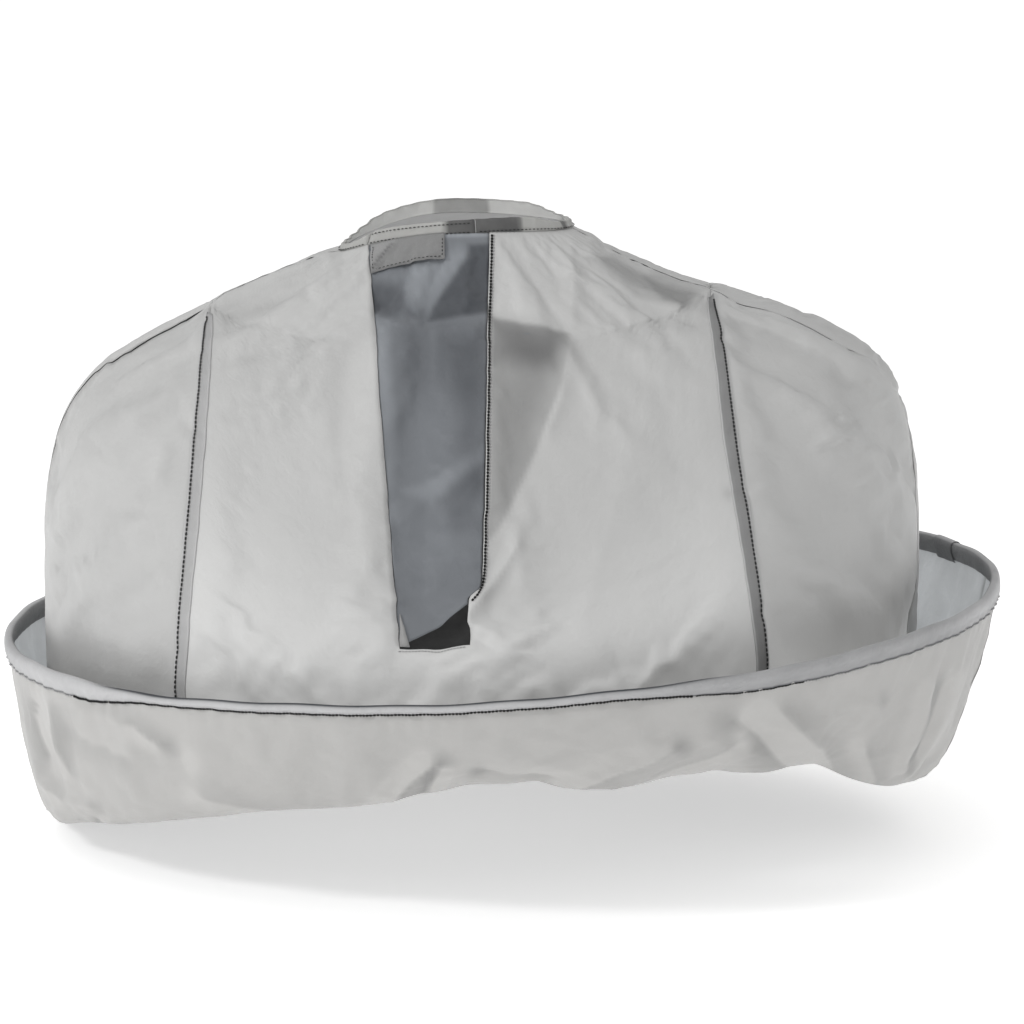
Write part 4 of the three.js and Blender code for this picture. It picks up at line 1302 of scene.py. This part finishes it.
# Painted shade and light on the flap: outline (x, z) in mm, softness in mm, shade; a minus shade paints it lighter.
FLAP_SHADES = [
    ([(-86, 8), (38, 8), (34, -330), (-66, -330)], 2, 0.5),
    ([(14, 2), (36, 2), (36, -53), (-24, -57), (-20, -47), (0, -22), (12, -8)], 3, 0.42),
    ([(-80, -30), (-52, -30), (-42, -44), (-38, -55), (-78, -54)], 7, 0.34),
    ([(-46, -12), (-8, -2), (12, -4), (0, -18), (-20, -40), (-24, -48), (-42, -48)], 9, -0.3),
    ([(-66, -62), (30, -66), (32, -130), (-40, -120)], 20, 0.14),
    ([(-10, -70), (32, -74), (30, -200), (8, -200)], 16, 0.2),
    ([(-78, -60), (-62, -60), (-52, -220), (-60, -220)], 8, -0.26),
    ([(-50, -196), (-14, -186), (26, -166), (26, -176), (-20, -206)], 6, -0.2),
    ([(-14, -204), (28, -178), (28, -236), (0, -232)], 8, 0.16),
    ([(-54, -250), (28, -258), (20, -300), (-46, -320)], 5, 0.02),
]


flap_columns, flap_rows = np.linspace(0, 1, 44), np.linspace(0, 1, 130)
foot = lerp(front_share(FLAP_FOOT_LEFT), front_share(FLAP_FOOT_RIGHT), flap_columns)
flap_v = flap_rows[:, None] * foot
FREE_GAP, SEWN_GAP = 0.0015, 0.003  # in radians, from the slit's edges
flap_left = slit_angle(slit_left, flap_v.ravel()).reshape(flap_v.shape) + FREE_GAP
flap_right = slit_angle(slit_right, flap_v.ravel()).reshape(flap_v.shape) - SEWN_GAP
flap_angle = lerp(flap_left, flap_right, flap_columns)
slack = np.sin(math.pi * flap_columns) ** 0.8 * smooth(flap_rows / 0.1)[:, None]
# The creases die out before the sewn edge, which swings as a hinge.
flat_by_seam = smooth((1 - flap_columns) / 0.14)
flap_push = crease_height(smooth_dome(flap_angle, flap_v), FLAP_CREASES) * flat_by_seam
flap_grid = dome(flap_angle, flap_v, -(0.4 + 3.4 * slack) * MM + flap_push, creases=[])
flap_shade = shades_of(smooth_dome(flap_angle, flap_v), FLAP_SHADES)
flap = Cloth("neck_flap_cloth", [flap_nylon]).add(flap_grid, flap_shade).make()
swing(flap, "shaded_nylon", "neck_flap")
print("flap shade from", flap_shade.min().round(2), "to", flap_shade.max().round(2))

# %% [markdown]
# ## What is sewn behind the slit
# Hems, the facing and the hook tape lie against the inside of the front panel. They are placed by x and
# height on the front, so this helper finds the point of the dome there by halving an interval.

# %% Make the pieces behind the front panel
def on_front(x, z, lift):
    """The point of the dome in front at x and z, both in mm."""
    x, z = np.broadcast_arrays(np.asarray(x, float) * MM, np.asarray(z, float) * MM)
    above, below = np.zeros(x.shape), np.ones(x.shape)
    for _ in range(24):
        middle = (above + below) / 2
        lower = smooth_dome(angle_at(x, middle), middle)[..., 2] < z
        above, below = np.where(lower, above, middle), np.where(lower, middle, below)
    v = (above + below) / 2
    angle = angle_at(x, v)
    return dome(angle, v, lift * MM), normals(smooth_dome, angle, v), angle, v


def front_strip(x_from, x_to, z_from, z_to, lift, columns, rows):
    """A grid on the front between two lines, each given as an x for every row's height in mm."""
    z = np.linspace(z_from, z_to, rows)[:, None]
    share = np.linspace(0, 1, columns)
    x = lerp(x_from(z), x_to(z), share)
    return on_front(x, np.broadcast_to(z, x.shape), lift)[0]


HEM_WIDTH, NECK_LINE = 7, {"left": -16, "right": 2}


def left_edge(z):
    return slit_left(z * MM) / MM


def right_edge(z):
    return slit_right(z * MM) / MM


hem_left = front_strip(
    lambda z: left_edge(z) - HEM_WIDTH, left_edge, NECK_LINE["left"], SLIT_FOOT_Z, -0.4, 4, 62
)
hem_right = front_strip(
    right_edge, lambda z: right_edge(z) + HEM_WIDTH, NECK_LINE["right"], SLIT_FOOT_Z, -0.4, 4, 66
)
TAB_TOP, TAB_FOOT = -296, -322
tab = front_strip(
    lambda z: SLIT_LEFT_FOOT + 0 * z, lambda z: SLIT_LEFT_FOOT + 0.6 + (TAB_TOP - z) * 0.34,
    TAB_TOP, TAB_FOOT, 0.2, 3, 6,
)
left_hem = Cloth("left_slit_hem_cloth", [nylon]).add(hem_left, 0.2).add(tab, 0.55).make(0.7 * MM)
hang(left_hem, "light_nylon", "left_slit_hem")
right_hem = Cloth("right_slit_hem_cloth", [nylon]).add(hem_right, 0.3).make(0.7 * MM)
hang(right_hem, "light_nylon", "right_slit_hem")
bar_from, bar_to = left_edge(SLIT_FOOT_Z) - HEM_WIDTH, right_edge(SLIT_FOOT_Z) + HEM_WIDTH
bar = front_strip(
    lambda z: bar_from + 0 * z, lambda z: bar_to + 0 * z, SLIT_FOOT_Z - 0.5, SLIT_FOOT_Z - 8, -0.5, 14, 3
)
base_bar = Cloth("slit_base_bar_cloth", [tape_cloth]).add(bar, 0.6).make(0.8 * MM)
hang(base_bar, "seam_tape", "slit_base_bar")

FACING_HEIGHTS, FACING_REACHES = [-240, -222, -122, -76, -64], [7.6, 14, 64, 76, 9]  # past the slit, in mm
facing_grid = front_strip(
    lambda z: right_edge(z) + HEM_WIDTH + 0.5,
    lambda z: right_edge(z) + np.interp(z, FACING_HEIGHTS, FACING_REACHES),
    FACING_HEIGHTS[-1], FACING_HEIGHTS[0], -0.7, 14, 36,
)
facing = Cloth("placket_facing_cloth", [flap_nylon]).add(facing_grid, 0.5).make()
hang(facing, "shaded_nylon", "placket_facing")

TAPE_LONG, TAPE_TALL, TAPE_DROP = 70, 21, 12
TAPE_GRID = (12, 36)
tape_rows = np.linspace(0, TAPE_TALL, TAPE_GRID[0])[:, None]
hook_start = float(left_edge(-TAPE_DROP)) - HEM_WIDTH - 1
hook_x = np.linspace(hook_start - TAPE_LONG, hook_start, TAPE_GRID[1])
hook_top = np.linspace(-37.5, -27, TAPE_GRID[1])  # it slopes with the shoulder
hook_grid = on_front(np.broadcast_to(hook_x, TAPE_GRID), hook_top - tape_rows, -1.0)[0]
hook = Cloth("neck_hook_tape_cloth", [fastener]).add(hook_grid, 0.5).make(1.2 * MM)
hang(hook, "fastener_tape", "neck_hook_tape")
print("behind the slit:", [o.name for o in (left_hem, right_hem, base_bar, facing, hook)])

# %% [markdown]
# ## The loop tape and its stitches
# The flap's loop tape is a grey strip sewn flat below the neck by one row of stitches all round. Its left end
# has been turned over: the turned corner is painted paler, and the crease across it is painted dark as shade.

# %% Sew the loop tape to the flap
def neck_height(x):
    """Height of the neck edge at an x on the front, in mm."""
    angle = angle_at(np.asarray(x, float) * MM, 0)
    return smooth_dome(angle, np.zeros(np.shape(angle)))[..., 2] / MM


loop_x = np.linspace(-78, -9, TAPE_GRID[1])
loop_top = neck_height(loop_x) - 1
FOLD_FROM, FOLD_TO = (-76, 17), (-59, 4)  # the turned corner's crease, as x and distance below the top, in mm
loop_grid = on_front(np.broadcast_to(loop_x, TAPE_GRID), loop_top - tape_rows, 1.0)[0]
loop_at = np.broadcast_arrays(loop_x, tape_rows)
to_crease = line_distance(*loop_at, [FOLD_FROM, FOLD_TO])
loop_grid[..., 1] -= (1.2 * MM) * smooth(1 - abs(to_crease - 2.5) / 2.5)
run, fall = FOLD_TO[0] - FOLD_FROM[0], FOLD_TO[1] - FOLD_FROM[1]
turned = (loop_at[1] - FOLD_FROM[1]) * run < (loop_at[0] - FOLD_FROM[0]) * fall
# Painted shade in the crease, and a paler turned corner.
loop_painted_shade = 0.42 + 0.6 * smooth(1 - to_crease / 1.8) - 0.4 * turned * smooth(to_crease / 1.8)
loop = Cloth("flap_loop_tape_cloth", [fastener]).add(loop_grid, loop_painted_shade).make(0.8 * MM)
swing(loop, "fastener_tape", "flap_loop_tape")


def front_row(cloth, points, lift, **settings):
    """Stitches along a line of (x, z) in mm on the front."""
    run = np.concatenate([[0], np.cumsum([math.dist(a, b) for a, b in zip(points, points[1:])])])
    along = np.linspace(0, run[-1], max(12, int(run[-1] / 2)))
    x, z = (np.interp(along, run, [p[k] for p in points]) for k in (0, 1))
    path, out, _, _ = on_front(x, z, lift)
    return stitch_row(cloth, path, out, **settings)


loop_stitches = Cloth("flap_loop_stitches", [thread_in_painted_shade])
LOOP_SEWN = ((-76, 3), (-76, 20), (-40, 20), (-11, 20), (-11, 3))  # x, and distance below the neck, in mm
sewn_at = [(x, float(neck_height(x)) - drop) for x, drop in LOOP_SEWN]
front_row(loop_stitches, sewn_at, 1.3, shade=0.7)
swing(loop_stitches.make(0), "fastener_tape")
print("loop tape", TAPE_LONG, "mm long")

# %% [markdown]
# ## The neckband
# A folded band stands on the neck's edge all round. It is one strip on the real cape, cut where the flap
# opens. On the front its middle stretch is painted darker, and its ends are pale. Painted shade darkens two
# creases, and the band's inside glows faintly as painted light.

# %% Make the neckband
BAND_HEIGHT, BAND_LEAN, FRONT_SAG = 13 * MM, 0.97, 4 * MM


def band(angle, share, lift=0.0):
    foot = smooth_dome(angle, np.zeros(np.shape(angle)))
    sag = FRONT_SAG * np.exp(-(((foot[..., 0] / MM + 22) / 52) ** 2)) * (foot[..., 1] < 0)
    ripple = 0.8 * MM * np.sin(37 * angle) * share
    height = BAND_HEIGHT * (1 - 0.5 * smooth((abs(foot[..., 0]) / MM - 70) / 34))
    lean = lerp(1, BAND_LEAN, share) + (lift + ripple) / NECK_DEPTH
    z = foot[..., 2] + 1 * MM - sag + height * share
    return np.stack([foot[..., 0] * lean, foot[..., 1] * lean, z], -1)


def band_grid(start, end):
    columns = steps(abs(end - start) * NECK_LEFT, 4 * MM)
    share = np.array([1.0, 0.95, 0.8, 0.55, 0.3, 0.08, 0, -0.1])[:, None]
    bulge = np.array([0.1, 0.9, 1.2, 1.1, 1.1, 1.2, 0.8, 0.2])[:, None] * MM
    angle = np.linspace(start, end, columns)
    return band(*np.broadcast_arrays(angle, share), bulge), np.broadcast_to(angle, (8, columns))


def band_shade(angle, dark_from, dark_to, base=0.12):
    x = smooth_dome(angle, np.zeros(angle.shape))[..., 0] / MM
    # Painted shade: dark lines in the creases at x 103 mm and x -8 mm.
    creased = 0.8 * np.exp(-(((x - 103) / 2) ** 2)) + 0.6 * np.exp(-(((x + 8) / 1.2) ** 2))
    return base + 0.82 * smooth((x - dark_from) / 2) * smooth((dark_to - x) / 2) + creased


slit_left_top = float(slit_angle(slit_left, 0.0))
flap_band_end = float(angle_at(SLIT_RIGHT_TOP * MM - BAND_HEIGHT, 0))
BAND_LENGTHS = (  # name, ends as angles, the painted dark stretch's ends as x in mm, what the length moves with
    ("back_neckband", RIGHT_SIDE - TURN, LEFT_SIDE, (-20, 32), hang),
    ("left_neckband", LEFT_SIDE, slit_left_top, (0, 0), hang),
    ("flap_neckband", slit_left_top + 0.01, flap_band_end - 0.004, (-9, 40), swing),
    ("right_neckband", flap_band_end + 0.004, RIGHT_SIDE, (-9, 63), hang),
)
for name, start, end, dark, tie in BAND_LENGTHS:
    grid, angle = band_grid(start, end)
    amount = band_shade(angle, *dark) * (0.6 if name == "back_neckband" else 1)
    strip = Cloth(name + "_cloth", [band_cloth, lit_band]).add(grid, amount)
    tie(strip.make(1.3 * MM, inside=1), "seam_tape", name)
    stitches = Cloth(name.replace("band", "") + "_stitches", [thread_in_painted_shade])
    angle = np.linspace(start + 0.02, end - 0.02, 80)
    for share in (0.1,) if name != "flap_neckband" else (0.1, 0.75):
        path = band(angle, np.full(80, share), 1.7 * MM)
        stitch_row(stitches, path, normals(smooth_dome, angle, np.full(80, 0.02)), width=1.1 * MM, shade=0.7)
    tie(stitches.make(0), "seam_tape")
print("neckband in", len(BAND_LENGTHS), "lengths")

# %% [markdown]
# ## Seam tapes
# Each front and back seam is covered by a folded tape, stitched along its outer edge. The folded edges stand
# up a little and catch the light, and between them the tape is painted darker as shade. Across the tape the
# section is a short list of places, heights and painted shades.

# %% Sew on the seam tapes
TAPE_SECTION = [  # across in mm, height in mm, shade
    (-7.6, 0.5, 0.2), (-7.3, 1.5, 0.0), (-6.4, 1.7, 0.0), (-5.4, 1.2, 0.6), (-2, 1.1, 0.75), (2, 1.1, 0.75),
    (5.4, 1.2, 0.6), (6.4, 1.7, 0.0), (7.3, 1.5, 0.0), (7.6, 0.5, 0.2),
]


def tape_grid(line, section, start, end, lift=0.0, depth=1.0):
    v = np.linspace(start, end, steps((end - start) * 0.62))[:, None]
    angle = line(v)
    across, height, shade = (np.array(column) for column in zip(*section))
    wobble = 1 + 0.04 * np.sin(40 * v) + 0.03 * np.sin(97 * v + 1)
    angle = angle + across * MM * wobble / metres_per_radian(angle, v)
    v = np.broadcast_to(v, angle.shape)
    return dome(angle, v, lift + height * MM), np.broadcast_to(shade * depth, angle.shape)


SEAM_TAPES = (  # name, left, front, side that is stitched, where it starts, depth of its shade
    ("front_left_seam_tape", True, True, -1, 0.30, 0.35),
    ("front_right_seam_tape", False, True, 1, 0.295, 1.2),
    ("back_left_seam_tape", True, False, 1, 0.36, 0.6),
    ("back_right_seam_tape", False, False, -1, 0.36, 0.8),
)
trims = {}
for name, left, front, sewn_side, start, depth in SEAM_TAPES:
    line = seam_line(left, front)
    grid, shade = tape_grid(line, TAPE_SECTION, start, 0.97, depth=depth)
    tape = hang(Cloth(name + "_cloth", [tape_cloth]).add(grid, shade).make(), "seam_tape", name)
    stitches = Cloth(name.replace("tape", "stitches"), [thread_in_painted_shade])
    path, out = row_on(dome, line, 1.7 * MM, sewn_side * 4.4 * MM, 240, start + 0.01, 0.96)
    stitch_row(stitches, path, out, pitch=4.6 * MM, width=1.9 * MM, length=3.9 * MM, shade=0.7)
    trims[name] = [tape, hang(stitches.make(0), "seam_tape")]

INNER_SECTION = [(-4.5, 0, 0.5), (-1.5, 0, 0.8), (1.5, 0, 0.8), (4.5, 0, 0.5)]
for name, side in (("left_shoulder_tape", LEFT_SIDE), ("right_shoulder_tape", RIGHT_SIDE)):
    grid, shade = tape_grid(lambda v, side=side: side + 0 * v, INNER_SECTION, 0.005, 0.985, -0.5 * MM)
    tape = Cloth(name + "_cloth", [tape_painted_as_seam_shadow]).add(grid, shade).make(0.8 * MM)
    trims[name] = [hang(tape, "seam_tape", name)]

placket_stitches = Cloth("slit_stitches", [thread_in_painted_shade, thread])
SLIT_ROW = [(35.2, 9), (33.4, -80), (31.4, -180), (29.6, -262), (27.8, -276), (22.8, -284.5), (17.3, -290)]
front_row(placket_stitches, SLIT_ROW, 0.9, pitch=3.6 * MM, length=3.2 * MM, width=2.3 * MM, shade=1.0)
pale_row = [(x + 1.8, z) for x, z in SLIT_ROW[:5]]
front_row(placket_stitches, pale_row, 0.9, pitch=3.6 * MM, width=1.0 * MM, slot=1)
front_row(placket_stitches, [(-50, -327), (14, -327)], 0.9, pitch=3 * MM, shade=0.2, slot=1)
trims["slit"] = [hang(placket_stitches.make(0), "seam_tape")]
print("tapes and their stitches:", sum(len(group) for group in trims.values()))

# %% [markdown]
# ## The trough wall
# Outside the dome the cloth turns up and hangs from the hoop. It is sewn into the casing, so it puckers just
# below it, and it hangs free in soft folds down to the hem.

# %% Hang the trough walls
WALL_V = np.concatenate([np.linspace(0, STRAIGHT_SHARE, 5), np.linspace(STRAIGHT_SHARE, 1, 34)[1:]])
WALL_OPEN = SEAM_OPEN / HOOP_RADIUS
FOLD_AT, FOLD_LEAN, FOLD_WIDTH = 0.17, 0.10, 0.007  # a dark fold in the back wall, as angles in radians
walls = {}
for name, start, end in (
    ("trough_front_wall", LEFT_SIDE, RIGHT_SIDE), ("trough_back_wall", RIGHT_SIDE - TURN, LEFT_SIDE),
):
    angle_grid, v_grid = np.meshgrid(np.linspace(start + WALL_OPEN, end - WALL_OPEN, 262), WALL_V)
    grid = wall(angle_grid, v_grid, PANEL_LIFT)
    if name == "trough_front_wall":
        inside = trough_nylon
        shade = slant(grid, crease_height(smooth_wall(angle_grid, v_grid), WALL_CREASES), 1.6) + 0.12
    else:
        inside = lit_nylon
        # Painted shade: a dark line down the back wall where it is folded; the geometry has no fold there.
        from_fold = (angle_grid - FOLD_AT + FOLD_LEAN * v_grid) / FOLD_WIDTH
        shade = 0.5 * np.exp(-(from_fold**2)) * smooth((0.75 - v_grid) / 0.1) + 0.06
    piece = Cloth(name + "_cloth", [trough_nylon, inside]).add(grid, shade).make(inside=1)
    follow(piece, ("hem", "rim"), 1 - smooth(v_grid), "light_nylon", (name,))
    walls[name] = (piece, grid)
for name, side in (("left_trough_tape", LEFT_SIDE), ("right_trough_tape", RIGHT_SIDE)):
    v = WALL_V[4:-1][:, None]
    angle = side + np.linspace(-4.5, 4.5, 4) * MM / HOOP_RADIUS
    angle, v = np.broadcast_arrays(angle, v)
    inner, outer = wall(angle, v, -0.4 * MM), wall(angle, v, 1.0 * MM)
    tape = Cloth(name + "_cloth", [tape_painted_as_seam_shadow, tape_cloth]).add(inner, 0.6).add(outer, 0.3, slot=1)
    shares = 1 - smooth(np.stack([v, v]))
    follow(tape.make(0.3 * MM), ("hem", "rim"), shares, "seam_tape", (name,))
print("walls:", list(walls))

# %% [markdown]
# ## The rim
# A folded casing holds the sprung wire. Its section is a soft arch round the wire with two legs that meet the
# wall, and the stitching gathers the legs into small puckers. The section is a closed list of places that a
# spline runs through, repeated round the hoop.

# %% Make the casing, the patch over its join and the hoop
CASING_SECTION = np.array([  # reach outside the wire and height above it, in mm
    (1.2, -12.6), (2.4, -9.5), (3.8, -5.5), (4.5, -1.5), (4.2, 2), (2.6, 4.4), (0, 5.1),
    (-2.6, 4.4), (-4.2, 2), (-4.5, -1.5), (-3.8, -5.5), (-2.4, -9.5), (-1.2, -12.6),
])


def front_share_of(angle):
    """1 where the rim is pressed flat against the dome in front, and 0 elsewhere."""
    return smooth((-np.sin(angle) - 0.55) / 0.2) * smooth((0.52 - np.cos(angle)) / 0.3)


def casing(angle, share, grow=0.0):
    """share runs from the foot of the outer leg over the top to the foot of the inner leg."""
    point = on_rib(CASING_SECTION, share) * MM
    front = front_share_of(angle)
    flatter = np.where(point[..., 1] < 0, 0.62, 0.3) * front  # the legs fold up more than the top does
    height = point[..., 1] * (1 - flatter)
    leg = smooth(-point[..., 1] / (12 * MM))
    crimp = (1.1 * np.sin(151 * angle + 2 * np.sin(13 * angle)) + 0.6 * np.sin(67 * angle)) * MM * leg
    sway = 0.8 * MM * np.sin(9 * angle + 1) + 0.5 * MM * np.sin(31 * angle)
    reach = point[..., 0] * (1 + grow) + crimp * np.sign(point[..., 0] + 1e-9) * 0.6 + crimp * 0.4
    return on_hoop(angle, -(height * (1 + grow) + sway * (1 - 0.5 * leg)), reach)


# Painted shade on the casing: its inner leg, left end and right front darker, a shadow line at the foot of its front,
# and a dark line along its crest for the shadow of the gap.
def casing_shade(angle, share):
    inner = smooth((share - 0.56) / 0.06)
    left_end = np.exp(-(((angle - 3.3) / 0.16) ** 2))
    across = np.cos(angle)
    right_front = smooth((across - 0.15) / 0.3) * (1 - smooth((across - 0.86) / 0.08)) * (np.sin(angle) < 0)
    foot = (1 - smooth(share / 0.08)) * smooth((-np.sin(angle) + 0.1) / 0.3)
    crest = np.exp(-(((share - 0.5) / 0.085) ** 2)) * front_share_of(angle)
    return np.clip(0.04 + 0.5 * inner + 0.16 * left_end + 0.2 * right_front + 0.9 * foot + 2 * crest, 0, 1)


casing_angle, casing_share = np.meshgrid(np.linspace(0, TURN, 640, endpoint=False), np.linspace(0, 1, 27))
casing_grid = casing(casing_angle, casing_share)
rim = Cloth("rim_casing_cloth", [casing_cloth])
rim = rim.add(casing_grid, casing_shade(casing_angle, casing_share), closed=True).make()
ride_rim(rim, "casing_cloth", "rim_casing")
PALE, DARK = 0, 1
# The dark rows on the front paint the shadow line under the casing's lower edge; the pale rows are the light thread.
RIM_ROWS = ((212, 292, DARK, 2.4 * MM), (292, 306, DARK, 1.3 * MM), (-54, 212, PALE, 1.6 * MM))  # in degrees
casing_stitches = Cloth("casing_stitches", [thread, thread_in_painted_shade])
for start, end, slot, width in RIM_ROWS:
    row_angle = np.radians(np.linspace(start, end, 1600))
    row_path = casing(row_angle, np.full(row_angle.shape, 0.035), 0.11)
    row_out = row_path - HOOP_CENTRE
    row_out[:, 2] = 0
    row_out /= np.linalg.norm(row_out, axis=1, keepdims=True)
    length = 3.4 * MM if slot == DARK else 2.3 * MM
    stitch_row(casing_stitches, row_path, row_out, slot, 3.4 * MM, length, width, shade=0.9 * slot)
ride_rim(casing_stitches.make(0), "casing_cloth")

JOIN_ANGLE, PATCH_LENGTH = math.radians(23), 40 * MM
patch_reach = PATCH_LENGTH / 2 / HOOP_RADIUS
patch_angle, patch_share = np.meshgrid(
    np.linspace(JOIN_ANGLE - patch_reach, JOIN_ANGLE + patch_reach, 12), np.linspace(0.01, 0.99, 27)
)
patch_grid = casing(patch_angle, patch_share, 0.2)
patch_shade = casing_shade(patch_angle, patch_share) + 0.1
patch = Cloth("casing_join_patch_cloth", [casing_cloth]).add(patch_grid, patch_shade)
ride_rim(patch.make(), "casing_cloth", "casing_join_patch")


def tube_grid(angles, radius):
    turns = np.linspace(0, TURN, 12, endpoint=False)
    angle, turn = np.meshgrid(angles, turns, indexing="ij")
    return on_hoop(angle, -radius * np.sin(turn), radius * np.cos(turn))


wire_grid = tube_grid(np.linspace(0, TURN, 361), WIRE_RADIUS)
ride_rim(Cloth("hoop_wire_round", [steel]).add(wire_grid, closed=True).make(0), "spring_steel", "hoop_wire")
SLEEVE_LENGTH, SLEEVE_RADIUS = 30 * MM, 2.8 * MM
sleeve_reach = SLEEVE_LENGTH / 2 / HOOP_RADIUS
sleeve_angles = np.linspace(JOIN_ANGLE - sleeve_reach, JOIN_ANGLE + sleeve_reach, 12)
sleeve = Cloth("hoop_sleeve_round", [steel]).add(tube_grid(sleeve_angles, SLEEVE_RADIUS), closed=True)
ride_rim(sleeve.make(0.7 * MM, -1), "spring_steel", "hoop_sleeve")
print(f"casing {path_length(casing_grid[0]):.2f} m round")

# %% [markdown]
# ## Declaring the cloth
# The panels, the trough walls, the flap, the facing and the casing are declared with the flat size they were
# cut to, so that their area can be compared with the shape they hang in. The sizes are measured along the
# finished rows and columns, with 1% of ease.

on_panel = {
    "front_left_panel": trims["front_left_seam_tape"], "front_right_panel": trims["front_right_seam_tape"],
    "back_left_panel": trims["back_left_seam_tape"] + trims["left_shoulder_tape"],
    "back_right_panel": trims["back_right_seam_tape"] + trims["right_shoulder_tape"],
    "front_centre_panel": [left_hem, right_hem, base_bar, hook] + trims["slit"],
    "back_centre_panel": [bpy.data.objects["back_neckband_cloth"]],
}
for name, (piece, grid) in panels.items():
    declare(piece, grid, "hung", ["back_neckband_cloth"], on_panel[name])
for name, (piece, grid) in walls.items():
    declare(piece, grid, "hung", ["rim_casing_cloth"])
declare(flap, flap_grid, "hung", ["front_centre_panel_cloth"], [loop])
declare(facing, facing_grid, "hung", ["front_centre_panel_cloth"])
declare(rim, casing_grid, "folded", ["hoop_wire_round"])

# %% [markdown]
# ## Keep the sizes and finish
# The CAD model's box and the visual model's box are both written out so that they can be compared.

# %% Write the boxes and finish
visual_box = [list(corner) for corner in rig.bounds()]
with open("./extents.json", "w") as file:
    json.dump({"cad": cad_box, "visual": visual_box}, file)
print("visual box in metres:", [[round(x, 3) for x in corner] for corner in visual_box])
